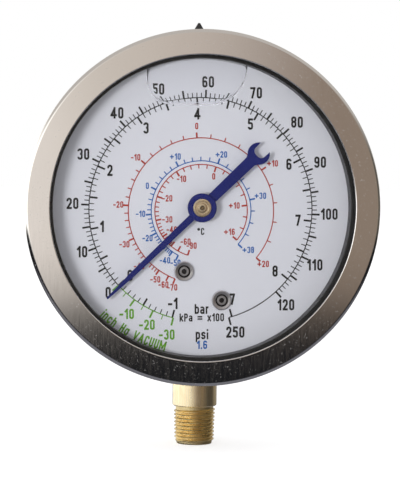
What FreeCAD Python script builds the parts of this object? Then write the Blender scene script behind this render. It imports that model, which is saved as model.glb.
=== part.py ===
import FreeCAD, Part

import math
import os

from FreeCAD import Vector

# Glycerine-filled pressure gauge for a lower connection, in millimetres.
# The origin is the centre of the connection thread's lower end, +Z is up and the dial faces -Y.
# Depths are Y values: the viewer's side is negative. "cw" angles turn clockwise from the top of the dial.

# Stem: taper thread and round collar
thread_length = 9.7
thread_end_radius = 4.99
thread_taper = 1.0 / 16.0
thread_chamfer = 0.7
collar_radius = 5.65
collar_length = 10.8
collar_edge = 0.25
collar_root = 4.0

# Case, a drawn cup with a flange at its mouth
case_radius = 40.0
case_wall = 0.8
case_back_y = 13.0
case_corner = 3.0
flange_width = 2.3
back_step_inset = 7.0
back_step_depth = 0.7

# Dial plate; the pieces in front of it and the movement behind it keep their distance from its face
dial_front_y = -14.0
dial_thickness = 0.6
dial_edge_gap = 0.6
dial_hole_radius = 2.9

# Bezel, a ring rolled round the flange
bezel_rise = 8.0
bezel_sheet = 0.8
bezel_round = 1.0
bezel_crown = 0.35
bezel_hook = 1.6
flange_lead = 1.2
rim_slack = 0.4

# Window and its gasket
window_thickness = 2.4
window_inset = 1.3
gasket_reach = 2.6
gasket_show = 0.7
gasket_lip = 0.2
gasket_corner = 0.3
rim_clearance = 0.2

# Two dial screws, as (sideways, up) from the dial's axis
dial_screw_places = [(-4.1, -15.8), (5.3, -22.9)]
dial_screw_head_radius = 2.45
dial_screw_head_height = 1.1
dial_screw_head_edge = 0.3
dial_screw_ring_radius = 1.35
dial_screw_recess_radius = 0.6
dial_screw_recess_depth = 0.7
dial_screw_radius = 1.2
dial_screw_grip = 3.0
dial_post_radius = 2.2

# Pointer
pointer_lift = 2.0
pointer_thickness = 0.5
pointer_end_gap = 4.3
pointer_rest_cw = 225.7
pointer_root_width = 1.8
pointer_waist_width = 1.3
pointer_waist_share = 0.72
pointer_tip_width = 0.45
pointer_hub_radius = 3.57
pointer_hub_height = 0.8
pointer_hub_edge = 0.35
tail_root_width = 2.4
tail_end_width = 2.8
tail_flare_width = 4.7
tail_flare_length = 1.5
tail_head_place = 19.3
tail_head_radius = 2.75
tail_mouth_width = 3.1
tail_mouth_end_width = 3.4
tail_mouth_floor = 18.6
end_rounding = 0.8
bush_radius = 2.3
bush_recess = 0.2
bush_length = 1.9
bush_shoulder_radius = 1.7
bush_groove_inner = 1.25
bush_groove_outer = 1.65
bush_groove_depth = 0.12

# Movement: two plates, pillars, pinion and sector
plate_drop = 1.2
plate_spacing = 7.6
plate_thickness = 1.0
plate_half_width = 7.5
plate_reach_up = 7.6
plate_reach_down = 23.0
plate_corner = 3.0
plate_toe = 1.0
plate_toe_corner = 2.0
pillar_radius = 1.3
pillar_spigot_radius = 0.8
pillar_places = [(-5.2, -5.0), (-5.2, 5.0), (14.5, -6.2), (20.4, 5.9)]
small_screw_radius = 0.6
small_screw_grip = 2.0
small_head_radius = 1.1
small_head_height = 0.7
tap_clearance = 0.2
movement_screw_places = [(8.0, -4.8), (8.0, 4.8)]
movement_screw_radius = 1.0
movement_screw_grip = 2.4
movement_head_radius = 1.8
movement_head_height = 1.2
running_gap = 0.03
end_play = 0.1

gear_module = 0.22
pinion_teeth = 16
sector_full_teeth = 144
sector_first_tooth = -4
sector_last_tooth = 15
tooth_play = 0.035
tooth_root_modules = 1.25
sector_top_modules = 0.85
pressure_angle = 20.0
sector_pivot_cw = 140.0
pinion_width = 1.8
sector_drop = 2.8
sector_thickness = 0.8
sector_rim_width = 1.9
sector_web = 2.2
sector_arm_angle = 7.0
sector_hub_radius = 2.2
sector_hub_length = 2.2
arbor_radius = 0.9
rear_pivot_radius = 0.45
front_pivot_radius = 0.6
stub_stand = 0.05

# Travel of the pointer either way from its rest at zero, in degrees
vacuum_travel = 33.0
pressure_travel = 297.0

# Link between the sector's tail and the tube's tip
tail_length = 3.5
tail_half_width = 1.35
link_length = 11.0
link_lead = 86.0
link_thickness = 0.8
link_half_width = 1.25
link_gap = 0.3
link_pin_radius = 0.5
link_head_radius = 0.95
link_head_height = 0.35
open_pivot_gap = 0.17

# Hairspring, its collet and its stud
spring_strip = 0.14
spring_width = 0.7
spring_pitch = 0.9
spring_half_turns = 8
collet_radius = 1.75
collet_length = 0.9
collet_split = 0.3
stud_radius = 0.5
stud_stand = 0.1

# Bourdon tube, a flattened tube bent to a C about the dial's axis
tube_bend_radius = 28.5
tube_thickness = 3.0
tube_width = 8.0
tube_wall = 0.35
tube_start_cw = 190.0
tube_end_cw = 472.0
tip_lap = 3.5
tip_overhang = 5.0
tip_shell = 0.8
tip_lug_half_width = 1.7
tip_pin_depth = 1.5

# Stem block inside the case and the carrier that the movement stands on
inlet_radius = 2.0
inlet_depth = 6.0
restrictor_radius = 1.6
restrictor_length = 3.4
restrictor_hole_radius = 0.25
restrictor_slot_width = 0.5
restrictor_slot_depth = 0.8
riser_radius = 1.1
cross_bore_radius = 0.9
cross_bore_lap = 0.5
block_half_width = 13.5
block_half_depth = 5.5
block_top = -23.5
block_edge = 0.6
carrier_thickness = 3.0
carrier_root = 2.0
carrier_left = -9.0
carrier_left_shoulder = -6.0
carrier_right = 13.0
carrier_right_shoulder = -2.0
carrier_top = 6.0
carrier_top_half_width = 5.0
carrier_corner = 3.0

# Seals and fasteners in the case wall
wall_hole_gap = 0.15
o_ring_section = 0.95
o_ring_squeeze = 0.15
stem_screw_cw = 16.5
stem_screw_radius = 1.45
stem_screw_head_radius = 2.6
stem_screw_head_height = 1.7
stem_screw_socket_radius = 1.3
stem_screw_reach = 6.5

# Filler plug in the top of the case, heights from the case's round wall
plug_shank_radius = 4.5
plug_flange_radius = 6.3
plug_flange_height = 1.7
plug_saddle_depth = 1.5
plug_lip_radius = 5.0
plug_lip_inset = 0.8
plug_depth = 3.2
plug_hollow_radius = 2.25
plug_hollow_end = 0.5
plug_crown_radius = 3.4
plug_crown_height = 2.4
nipple_base_radius = 2.6
nipple_end_radius = 0.25
nipple_length = 4.0

# Glycerine and the air left in it
liquid_skin = 0.05
sweep_gap = 0.45
bubble_left = -12.3
bubble_right = 11.8
bubble_drop = 11.4
bubble_corner = 5.0
liquid_level = 27.0

# How far a cutting tool runs past the faces that it cuts, and the same round a bend in degrees
past = 1.0
past_degrees = 2.0

along_y = Vector(0, 1, 0)
axis_height = thread_length + collar_length + case_radius
axis_point = Vector(0, 0, axis_height)

case_inner_radius = case_radius - case_wall
flange_radius = case_radius + flange_width
bezel_radius = flange_radius + rim_slack + bezel_sheet
window_radius = flange_radius - window_inset
gasket_opening = case_inner_radius - gasket_reach
bezel_opening = gasket_opening + gasket_show
pointer_length = gasket_opening - pointer_end_gap
back_step_radius = case_radius - back_step_inset

bezel_front_y = dial_front_y - bezel_rise
window_front_y = bezel_front_y + bezel_sheet
window_back_y = window_front_y + window_thickness
flange_front_y = dial_front_y - flange_lead
pointer_back_y = dial_front_y - pointer_lift
pointer_front_y = pointer_back_y - pointer_thickness
hub_front_y = pointer_front_y - pointer_hub_height
bush_front_y = hub_front_y + bush_recess
dial_back_y = dial_front_y + dial_thickness
front_plate_y = dial_back_y + plate_drop
back_plate_y = front_plate_y + plate_spacing
shaft_front_y = front_plate_y + plate_thickness + end_play
shaft_back_y = back_plate_y - end_play
sector_front_y = front_plate_y + sector_drop
link_front_y = sector_front_y + sector_thickness + link_gap
tip_lug_front_y = link_front_y + link_thickness + link_gap / 2
spring_front_y = shaft_front_y + (collet_length - spring_width) / 2
carrier_front_y = back_plate_y + plate_thickness

centre_distance = gear_module * (pinion_teeth + sector_full_teeth) / 2
gear_ratio = sector_full_teeth / pinion_teeth
tail_lead = (pressure_travel - vacuum_travel) / 2 / gear_ratio
o_ring_top = axis_height - case_inner_radius + 2 * o_ring_section - o_ring_squeeze


def polar(cw, radius):
    """Point (sideways, up) at a clockwise angle and distance from the dial's axis."""
    return radius * math.sin(math.radians(cw)), radius * math.cos(math.radians(cw))


def shifted(flat, cw, radius):
    """Point (sideways, up) at a clockwise angle and distance from another one."""
    step = polar(cw, radius)
    return flat[0] + step[0], flat[1] + step[1]


def place(flat, y):
    """Point in space for (sideways, up) from the dial's axis, at a depth."""
    return Vector(flat[0], y, axis_height + flat[1])


def from_movement(u, v):
    """(sideways, up) for a place given along and across the line from the pinion to the sector's pivot."""
    return shifted(polar(sector_pivot_cw, u), sector_pivot_cw + 90, v)


sector_pivot = polar(sector_pivot_cw, centre_distance)
tail_pin = shifted(sector_pivot, sector_pivot_cw + tail_lead, tail_length)
tip_pin = shifted(tail_pin, sector_pivot_cw - link_lead, link_length)


def disc(flat, radius, y0, y1):
    """Round bar along the depth."""
    return Part.makeCylinder(radius, y1 - y0, place(flat, y0), along_y)


def wall_cylinder(radius):
    """Plain cylinder about the dial's axis, deeper than the case."""
    return disc((0, 0), radius, bezel_front_y - past, case_back_y + past)


def radial_bar(cw, radius, inner, outer):
    """Round bar standing on the dial's axis like a spoke, between two distances."""
    start = place(polar(cw, inner), 0)
    run = place(polar(cw, outer), 0) - start
    return Part.makeCylinder(radius, run.Length, start, run)


def rounded_wire(corners, to_space):
    """Closed wire through (a, b, radius) corners, each rounded by a tangent arc where its radius is set."""
    count = len(corners)
    starts, ends, middles = [], [], []
    for index, (a, b, radius) in enumerate(corners):
        before, after = corners[index - 1], corners[(index + 1) % count]
        back = Vector(before[0] - a, before[1] - b, 0)
        ahead = Vector(after[0] - a, after[1] - b, 0)
        back.normalize()
        ahead.normalize()
        corner = Vector(a, b, 0)
        if radius > 0:
            half = back.getAngle(ahead) / 2
            reach = radius / math.tan(half)
            inward = back + ahead
            inward.normalize()
            starts.append(corner + back * reach)
            ends.append(corner + ahead * reach)
            middles.append(corner + inward * (radius / math.sin(half) - radius))
        else:
            starts.append(corner)
            ends.append(corner)
            middles.append(None)
    edges = []
    for index in range(count):
        begin, finish = to_space(starts[index]), to_space(ends[index])
        if middles[index] is not None:
            edges.append(Part.Arc(begin, to_space(middles[index]), finish).toShape())
        following = to_space(starts[(index + 1) % count])
        if finish.distanceToPoint(following) > 1e-6:
            edges.append(Part.makeLine(finish, following))
    return Part.Wire(edges)


def turned(corners):
    """Solid turned about the dial's axis from (radius, depth, rounding) corners."""
    wire = rounded_wire(corners, lambda p: Vector(p.x, p.y, axis_height))
    return Part.Face(wire).revolve(axis_point, along_y, 360)


def plate(corners, y0, y1, to_flat=lambda a, b: (a, b)):
    """Flat plate from (a, b, rounding) corners in the dial's plane."""
    wire = rounded_wire(corners, lambda p: place(to_flat(p.x, p.y), y0))
    return Part.Face(wire).extrude(Vector(0, y1 - y0, 0))


def polygon_plate(points, y0, y1):
    """Flat plate from straight runs between (sideways, up) points."""
    corners = [place(point, y0) for point in points]
    return Part.Face(Part.makePolygon(corners + corners[:1])).extrude(Vector(0, y1 - y0, 0))


def bar(start, end, half_width, y0, y1):
    """Flat bar with round ends between two (sideways, up) points."""
    run = Vector(end[0] - start[0], end[1] - start[1], 0)
    length = run.Length
    run.normalize()

    def to_flat(a, b):
        return start[0] + run.x * a - run.y * b, start[1] + run.y * a + run.x * b

    side = half_width
    straight = plate([(0, -side, 0), (length, -side, 0), (length, side, 0), (0, side, 0)], y0, y1, to_flat)
    return straight.fuse([disc(start, side, y0, y1), disc(end, side, y0, y1)]).removeSplitter()


def wedge(centre, inner, outer, from_cw, to_cw, y0, y1):
    """Flat ring segment about a (sideways, up) centre."""

    def spot(cw, radius):
        return place(shifted(centre, cw, radius), y0)

    middle = (from_cw + to_cw) / 2
    edges = [
        Part.Arc(spot(from_cw, outer), spot(middle, outer), spot(to_cw, outer)).toShape(),
        Part.makeLine(spot(to_cw, outer), spot(to_cw, inner)),
        Part.Arc(spot(to_cw, inner), spot(middle, inner), spot(from_cw, inner)).toShape(),
        Part.makeLine(spot(from_cw, inner), spot(from_cw, outer)),
    ]
    return Part.Face(Part.Wire(edges)).extrude(Vector(0, y1 - y0, 0))


def slotted_screw(flat, seat_y, radius, length, head_radius, head_height):
    """Screw along the depth with its slotted head on the viewer's side of its seat."""
    head = disc(flat, head_radius, seat_y - head_height, seat_y)
    slot_width = 0.3 * head_radius
    reach = head_radius + past
    slot = Part.makeBox(2 * reach, head_height / 2, slot_width)
    slot.translate(place(flat, seat_y - head_height) - Vector(reach, 0, slot_width / 2))
    return head.cut(slot).fuse(disc(flat, radius, seat_y, seat_y + length)).removeSplitter()


def tooth_flank(teeth, top, bottom):
    """(radius, half angle) pairs up one flank of an involute tooth, from its root to its top."""
    pitch_radius = gear_module * teeth / 2
    slope = math.radians(pressure_angle)
    base_radius = pitch_radius * math.cos(slope)
    half_at_pitch = math.pi / (2 * teeth) - tooth_play / (2 * pitch_radius)

    def unroll(radius):
        turn = math.acos(min(1.0, base_radius / radius))
        return math.tan(turn) - turn

    low = max(base_radius, bottom)
    radii = [low + (top - low) * share for share in (0, 0.25, 0.5, 0.75, 1)]
    flank = [(radius, half_at_pitch + unroll(pitch_radius) - unroll(radius)) for radius in radii]
    if bottom < low:
        flank.insert(0, (bottom, flank[0][1]))
    return flank


def toothed_outline(teeth, centre, first_cw, count, top, bottom):
    """(sideways, up) points along a run of teeth, the first tooth's middle at first_cw from the centre."""
    flank = tooth_flank(teeth, top, bottom)
    points = []
    for index in range(count):
        middle = first_cw + index * 360.0 / teeth
        for radius, half in flank:
            points.append(shifted(centre, middle - math.degrees(half), radius))
        for radius, half in reversed(flank):
            points.append(shifted(centre, middle + math.degrees(half), radius))
    return points


def make_case():
    """Drawn cup: flange, round wall, stepped back, and holes for the stem, its screws and the plug."""
    flange_back_y = flange_front_y + case_wall
    step_y = case_back_y - back_step_depth
    floor_y = case_back_y - case_wall
    corners = [
        (0, floor_y - back_step_depth, 0),
        (back_step_radius - case_wall, floor_y - back_step_depth, 0),
        (back_step_radius, floor_y, 0),
        (case_inner_radius, floor_y, case_corner - case_wall),
        (case_inner_radius, flange_front_y, case_wall),
        (flange_radius, flange_front_y, 0),
        (flange_radius, flange_back_y, 0),
        (case_radius, flange_back_y, 0),
        (case_radius, case_back_y, case_corner),
        (back_step_radius + case_wall / 2, case_back_y, 0),
        (back_step_radius - case_wall / 2, step_y, 0),
        (0, step_y, 0),
    ]
    inner, outer = case_radius / 2, case_radius + past
    cuts = [
        radial_bar(180, collar_radius + wall_hole_gap, inner, outer),
        radial_bar(0, plug_shank_radius, inner, outer),
    ]
    for side in (-1, 1):
        cuts.append(radial_bar(180 + side * stem_screw_cw, stem_screw_radius + wall_hole_gap, inner, outer))
    return turned(corners).cut(cuts)


def make_bezel():
    """Ring with a crowned face, rolled over behind the flange."""
    inside = bezel_radius - bezel_sheet
    hook_front_y = flange_front_y + case_wall
    hook_back_y = hook_front_y + bezel_sheet
    return turned([
        (bezel_opening, bezel_front_y, bezel_sheet / 2),
        (bezel_radius, bezel_front_y + bezel_crown, bezel_round),
        (bezel_radius, hook_back_y, bezel_sheet),
        (flange_radius - bezel_hook, hook_back_y, 0),
        (flange_radius - bezel_hook, hook_front_y, 0),
        (inside, hook_front_y, 0),
        (inside, window_front_y + bezel_crown, bezel_round - bezel_sheet),
        (window_radius, window_front_y, 0),
        (bezel_opening, window_front_y, 0),
    ])


def make_window():
    """Flat round window."""
    return disc((0, 0), window_radius, window_front_y, window_back_y)


def make_gasket():
    """Rubber ring: a sleeve round the window, a seat on the flange and a skirt down to the dial."""
    outside = bezel_radius - bezel_sheet - rim_clearance
    skirt = case_inner_radius - rim_clearance
    sleeve_front_y = window_front_y + 2 * rim_clearance
    skirt_back_y = dial_front_y - liquid_skin
    return turned([
        (gasket_opening, window_back_y, gasket_lip),
        (window_radius, window_back_y, 0),
        (window_radius, sleeve_front_y, 0),
        (outside, sleeve_front_y, gasket_corner),
        (outside, flange_front_y, 0),
        (skirt, flange_front_y, 0),
        (skirt, skirt_back_y, 0),
        (gasket_opening, skirt_back_y, gasket_lip),
    ])


def make_dial():
    """Flat dial plate with its centre hole and two screw holes."""
    flat = disc((0, 0), case_inner_radius - dial_edge_gap, dial_front_y, dial_back_y)
    holes = [disc((0, 0), dial_hole_radius, dial_front_y - past, dial_back_y + past)]
    for spot in dial_screw_places:
        holes.append(disc(spot, dial_screw_radius + wall_hole_gap, dial_front_y - past, dial_back_y + past))
    return flat.cut(holes)


def make_dial_screws():
    """Two pan heads with a raised ring and a small recess, on shanks in the dial posts."""
    front_y = dial_front_y - dial_screw_head_height
    shoulder_y = front_y + dial_screw_head_edge
    solids = []
    for spot in dial_screw_places:
        head = disc(spot, dial_screw_head_radius, shoulder_y, dial_front_y)
        rim = [edge for edge in head.Edges if edge.BoundBox.YMax < dial_front_y - dial_screw_head_edge]
        head = head.makeFillet(dial_screw_head_edge, rim)
        ring = disc(spot, dial_screw_ring_radius, front_y, dial_front_y)
        recess = disc(spot, dial_screw_recess_radius, front_y - past, front_y + dial_screw_recess_depth)
        shank = disc(spot, dial_screw_radius, dial_front_y, dial_back_y + dial_screw_grip)
        solids.append(head.fuse([ring, shank]).cut(recess).removeSplitter())
    return Part.makeCompound(solids)


def make_pointer():
    """Tapered blade, round hub and a forked tail, cut from sheet and turned to its rest angle."""
    y0, y1 = pointer_front_y, pointer_back_y
    root, tip = pointer_root_width / 2, pointer_tip_width / 2
    waist, waist_half = pointer_waist_share * pointer_length, pointer_waist_width / 2
    blade = plate([
        (-root, 0, 0), (root, 0, 0), (waist_half, waist, 0),
        (tip, pointer_length, end_rounding * tip), (-tip, pointer_length, end_rounding * tip),
        (-waist_half, waist, 0),
    ], y0, y1)

    start, end, flare = tail_root_width / 2, tail_end_width / 2, tail_flare_width / 2
    neck = -(tail_head_place - tail_head_radius)
    tail = plate([
        (-start, 0, 0), (start, 0, 0), (end, neck, 0), (flare, neck - tail_flare_length, 0),
        (-flare, neck - tail_flare_length, 0), (-end, neck, 0),
    ], y0, y1)
    head = disc((0, -tail_head_place), tail_head_radius, y0, y1)

    mouth_half, mouth_end_half = tail_mouth_width / 2, tail_mouth_end_width / 2
    mouth_end = tail_head_place + 2 * tail_head_radius
    mouth = plate([
        (-mouth_half, -tail_mouth_floor, end_rounding * mouth_half),
        (mouth_half, -tail_mouth_floor, end_rounding * mouth_half),
        (mouth_end_half, -mouth_end, 0), (-mouth_end_half, -mouth_end, 0),
    ], y0 - past, y1 + past)

    cup = disc((0, 0), pointer_hub_radius, hub_front_y, y1)
    rim = [edge for edge in cup.Edges if edge.BoundBox.YMax < y0]
    cup = cup.makeFillet(pointer_hub_edge, rim)
    sheet = blade.fuse([tail, head, cup]).cut(mouth).removeSplitter()
    sheet = sheet.cut(disc((0, 0), bush_radius, hub_front_y - past, y1 + past))
    sheet.rotate(axis_point, along_y, pointer_rest_cw)
    return sheet


def make_pointer_bush():
    """Turned bush with a groove, pressed in the pointer's hub and on the pinion arbor's end."""
    y0 = bush_front_y
    body = disc((0, 0), bush_radius, y0, pointer_back_y)
    shoulder = disc((0, 0), bush_shoulder_radius, pointer_back_y, y0 + bush_length)
    groove = turned([
        (bush_groove_inner, y0 - past, 0), (bush_groove_outer, y0 - past, 0),
        (bush_groove_outer, y0 + bush_groove_depth, 0), (bush_groove_inner, y0 + bush_groove_depth, 0),
    ])
    bore = disc((0, 0), front_pivot_radius, y0 - past, y0 + bush_length + past)
    return body.fuse(shoulder).cut([groove, bore]).removeSplitter()


def make_pinion_arbor():
    """Pinion cut from one bar with its arbor, its two pivots and the stub that carries the pointer."""
    pitch_radius = gear_module * pinion_teeth / 2
    outline = toothed_outline(pinion_teeth, (0, 0), sector_pivot_cw, pinion_teeth,
                              pitch_radius + gear_module, pitch_radius - tooth_root_modules * gear_module)
    middle_y = sector_front_y + sector_thickness / 2
    toothed = polygon_plate(outline, middle_y - pinion_width / 2, middle_y + pinion_width / 2)
    arbor = disc((0, 0), arbor_radius, shaft_front_y, shaft_back_y)
    stub = disc((0, 0), front_pivot_radius, bush_front_y - stub_stand, shaft_front_y)
    rear = disc((0, 0), rear_pivot_radius, shaft_back_y, carrier_front_y - end_play)
    return arbor.fuse([toothed, stub, rear]).removeSplitter()


def make_sector():
    """Toothed segment on two arms, with a hub and the short tail that the link drives."""
    y0, y1 = sector_front_y, sector_front_y + sector_thickness
    pitch = 360.0 / sector_full_teeth
    pitch_radius = gear_module * sector_full_teeth / 2
    bottom = pitch_radius - tooth_root_modules * gear_module
    facing = sector_pivot_cw + 180.0
    first_cw = facing + (sector_first_tooth + 0.5) * pitch
    last_cw = facing + (sector_last_tooth + 0.5) * pitch
    teeth = toothed_outline(sector_full_teeth, sector_pivot, first_cw,
                            sector_last_tooth - sector_first_tooth + 1,
                            pitch_radius + sector_top_modules * gear_module, bottom)
    fan = polygon_plate([sector_pivot] + teeth, y0, y1)
    window = wedge(sector_pivot, sector_hub_radius + sector_web, bottom - sector_rim_width,
                   first_cw + sector_arm_angle, last_cw - sector_arm_angle, y0 - past, y1 + past)
    hub_back = y1 + link_gap / 2
    hub_front = hub_back - sector_hub_length
    hub = disc(sector_pivot, sector_hub_radius, hub_front, hub_back)
    tail = bar(sector_pivot, tail_pin, tail_half_width, y0, y1)
    return fan.cut(window).fuse([hub, tail]).cut([
        disc(sector_pivot, arbor_radius, hub_front - past, hub_back + past),
        disc(tail_pin, link_pin_radius, y0 - past, y1 + past),
    ]).removeSplitter()


def make_sector_arbor():
    """Arbor of the sector with a pivot at each end."""
    return disc(sector_pivot, arbor_radius, shaft_front_y, shaft_back_y).fuse([
        disc(sector_pivot, rear_pivot_radius, front_plate_y + end_play, shaft_front_y),
        disc(sector_pivot, rear_pivot_radius, shaft_back_y, carrier_front_y - end_play),
    ]).removeSplitter()


def make_link():
    """Flat link with an eye at each end; the eye on the sector's tail has the play of the open pivot."""
    y0, y1 = link_front_y, link_front_y + link_thickness
    return bar(tail_pin, tip_pin, link_half_width, y0, y1).cut([
        disc(tail_pin, link_pin_radius + open_pivot_gap, y0 - past, y1 + past),
        disc(tip_pin, link_pin_radius + running_gap, y0 - past, y1 + past),
    ])


def make_sector_link_pin():
    """Pin pressed in the sector's tail, with a head behind the link."""
    head_y = link_front_y + link_thickness + link_gap / 2
    shank = disc(tail_pin, link_pin_radius, sector_front_y, head_y)
    return shank.fuse(disc(tail_pin, link_head_radius, head_y, head_y + link_head_height)).removeSplitter()


def make_tip_link_pin():
    """Pin pressed in the lug of the tube's tip, with a head in front of the link."""
    head_y = link_front_y - link_gap / 2
    shank = disc(tip_pin, link_pin_radius, head_y, tip_lug_front_y + tip_pin_depth)
    return shank.fuse(disc(tip_pin, link_head_radius, head_y - link_head_height, head_y)).removeSplitter()


def flat_tube(radial, axial, from_cw, to_cw):
    """Solid bar of flattened section bent about the dial's axis between two clockwise angles."""
    across = polar(from_cw, 1.0)

    def to_space(point):
        radius = tube_bend_radius + point.x
        return place((radius * across[0], radius * across[1]), point.y)

    rounding = radial / 2 * 0.999
    wire = rounded_wire([
        (-radial / 2, -axial / 2, rounding), (radial / 2, -axial / 2, rounding),
        (radial / 2, axial / 2, rounding), (-radial / 2, axial / 2, rounding),
    ], to_space)
    return Part.Face(wire).revolve(axis_point, along_y, to_cw - from_cw)


def tube_outside():
    """The Bourdon tube as a solid bar, which its sockets are cut with."""
    return flat_tube(tube_thickness, tube_width, tube_start_cw, tube_end_cw)


def make_tube():
    """Bourdon tube with open ends: one in the stem block, one closed by the tip."""
    bore = flat_tube(tube_thickness - 2 * tube_wall, tube_width - 2 * tube_wall,
                     tube_start_cw - past_degrees, tube_end_cw + past_degrees)
    return tube_outside().cut(bore)


def make_tube_tip():
    """Cap soldered over the tube's free end, with the lug that holds the link's pin."""
    cap = flat_tube(tube_thickness + 2 * tip_shell, tube_width + 2 * tip_shell,
                    tube_end_cw - tip_lap, tube_end_cw + tip_overhang)
    root = polar(tube_end_cw + tip_overhang / 2, tube_bend_radius)
    lug = bar(tip_pin, root, tip_lug_half_width, tip_lug_front_y, -tube_width / 2)
    pin_hole = disc(tip_pin, link_pin_radius, tip_lug_front_y - past, tip_lug_front_y + tip_pin_depth)
    return cap.fuse(lug).cut([tube_outside(), pin_hole]).removeSplitter()


def movement_plate(y0, holes):
    """Plate of the movement, long enough for both arbors, with (place, radius) holes cut."""
    side = plate_half_width
    body = plate([
        (-plate_reach_up, -side, plate_corner), (centre_distance, -side, plate_corner),
        (plate_reach_down, -plate_toe, plate_toe_corner), (plate_reach_down, side, plate_corner),
        (-plate_reach_up, side, plate_corner),
    ], y0, y0 + plate_thickness, from_movement)
    return body.cut([disc(flat, radius, y0 - past, y0 + plate_thickness + past) for flat, radius in holes])


def make_front_plate():
    """Front plate: pivots of both arbors and the screws into the pillars."""
    holes = [((0, 0), front_pivot_radius + running_gap), (sector_pivot, rear_pivot_radius + running_gap)]
    for u, v in pillar_places:
        holes.append((from_movement(u, v), small_screw_radius))
    return movement_plate(front_plate_y, holes)


def make_back_plate():
    """Back plate: rear pivots, riveted pillars and the screws into the carrier."""
    holes = [((0, 0), rear_pivot_radius + running_gap), (sector_pivot, rear_pivot_radius + running_gap)]
    for u, v in pillar_places:
        holes.append((from_movement(u, v), pillar_spigot_radius))
    for u, v in movement_screw_places:
        holes.append((from_movement(u, v), movement_screw_radius))
    return movement_plate(back_plate_y, holes)


def make_pillars():
    """Four turned pillars between the plates, tapped in front and riveted behind."""
    front = front_plate_y + plate_thickness
    solids = []
    for u, v in pillar_places:
        spot = from_movement(u, v)
        body = disc(spot, pillar_radius, front, back_plate_y)
        spigot = disc(spot, pillar_spigot_radius, back_plate_y, carrier_front_y)
        tapped = disc(spot, small_screw_radius, front, front + small_screw_grip + tap_clearance)
        solids.append(body.fuse(spigot).cut(tapped).removeSplitter())
    return Part.makeCompound(solids)


def make_plate_screws():
    """Four screws that hold the front plate on the pillars."""
    return Part.makeCompound([
        slotted_screw(from_movement(u, v), front_plate_y, small_screw_radius,
                      plate_thickness + small_screw_grip, small_head_radius, small_head_height)
        for u, v in pillar_places])


def make_movement_screws():
    """Two screws that hold the movement on the carrier."""
    return Part.makeCompound([
        slotted_screw(from_movement(u, v), back_plate_y, movement_screw_radius,
                      plate_thickness + movement_screw_grip, movement_head_radius, movement_head_height)
        for u, v in movement_screw_places])


def make_collet():
    """Split ring pressed on the pinion arbor that holds the hairspring's inner end."""
    y0, y1 = shaft_front_y, shaft_front_y + collet_length
    half = collet_split / 2
    split = plate([(-half, 0, 0), (half, 0, 0), (half, -2 * collet_radius, 0), (-half, -2 * collet_radius, 0)],
                  y0 - past, y1 + past)
    return disc((0, 0), collet_radius, y0, y1).cut([disc((0, 0), arbor_radius, y0 - past, y1 + past), split])


def make_hairspring():
    """Flat spiral built from half circles whose centres alternate, so that it opens evenly."""

    def half_turn(index, offset):
        side = 1 if index % 2 else -1
        radius = collet_radius + spring_strip / 2 + (index + 0.5) * spring_pitch / 2 + offset
        middle = -side * spring_pitch / 4
        return [place(flat, spring_front_y)
                for flat in ((middle + side * radius, 0), (middle, side * radius), (middle - side * radius, 0))]

    inner = [half_turn(index, -spring_strip / 2) for index in range(spring_half_turns)]
    outer = [half_turn(index, spring_strip / 2) for index in range(spring_half_turns)]
    edges = [Part.Arc(*points).toShape() for points in inner]
    edges.append(Part.makeLine(inner[-1][2], outer[-1][2]))
    edges += [Part.Arc(*points).toShape() for points in reversed(outer)]
    edges.append(Part.makeLine(outer[0][0], inner[0][0]))
    return Part.Face(Part.Wire(edges)).extrude(Vector(0, spring_width, 0))


def make_stud(spring):
    """Stud in the front plate that holds the hairspring's outer end."""
    spot = (spring.BoundBox.XMax - spring_strip / 2, 0.0)
    back = spring_front_y + spring_width + stud_stand
    return disc(spot, stud_radius, front_plate_y + plate_thickness, back).cut(spring)


def make_stem():
    """Taper thread over its crests and the round collar above it."""
    chamfer = Part.makeCone(thread_end_radius - thread_chamfer, thread_end_radius, thread_chamfer)
    thread = Part.makeCone(thread_end_radius + thread_taper * thread_chamfer / 2,
                           thread_end_radius + thread_taper * thread_length / 2,
                           thread_length - thread_chamfer, Vector(0, 0, thread_chamfer))
    collar_top = axis_height - case_inner_radius + collar_root
    collar = Part.makeCylinder(collar_radius, collar_top - thread_length, Vector(0, 0, thread_length))
    rim = [edge for edge in collar.Edges if edge.BoundBox.ZMax < thread_length + collar_edge]
    return [chamfer, thread, collar.makeChamfer(collar_edge, rim)]


def make_block():
    """Body of the stem block in the round of the case, with the O-ring's groove."""
    lowest = axis_height - case_radius
    height = axis_height + block_top - lowest
    body = Part.makeBox(2 * block_half_width, 2 * block_half_depth, height,
                        Vector(-block_half_width, -block_half_depth, lowest))
    upright = [edge for edge in body.Edges if edge.BoundBox.ZLength > height - past]
    body = body.makeChamfer(block_edge, upright)
    groove = Part.makeCylinder(collar_radius + 2 * o_ring_section, o_ring_top - lowest, Vector(0, 0, lowest))
    return body.common(wall_cylinder(case_inner_radius)).cut(groove)


def make_carrier():
    """Upright plate behind the movement, and the two posts that the dial is screwed on."""
    foot = block_top - carrier_root
    pieces = [plate([
        (carrier_left, foot, 0), (carrier_right, foot, 0),
        (carrier_right, carrier_right_shoulder, carrier_corner),
        (carrier_top_half_width, carrier_top, carrier_corner),
        (-carrier_top_half_width, carrier_top, carrier_corner),
        (carrier_left, carrier_left_shoulder, carrier_corner),
    ], carrier_front_y, carrier_front_y + carrier_thickness)]
    for spot in dial_screw_places:
        pieces.append(disc(spot, dial_post_radius, dial_back_y, carrier_front_y + carrier_thickness / 2))
    return pieces


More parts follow.
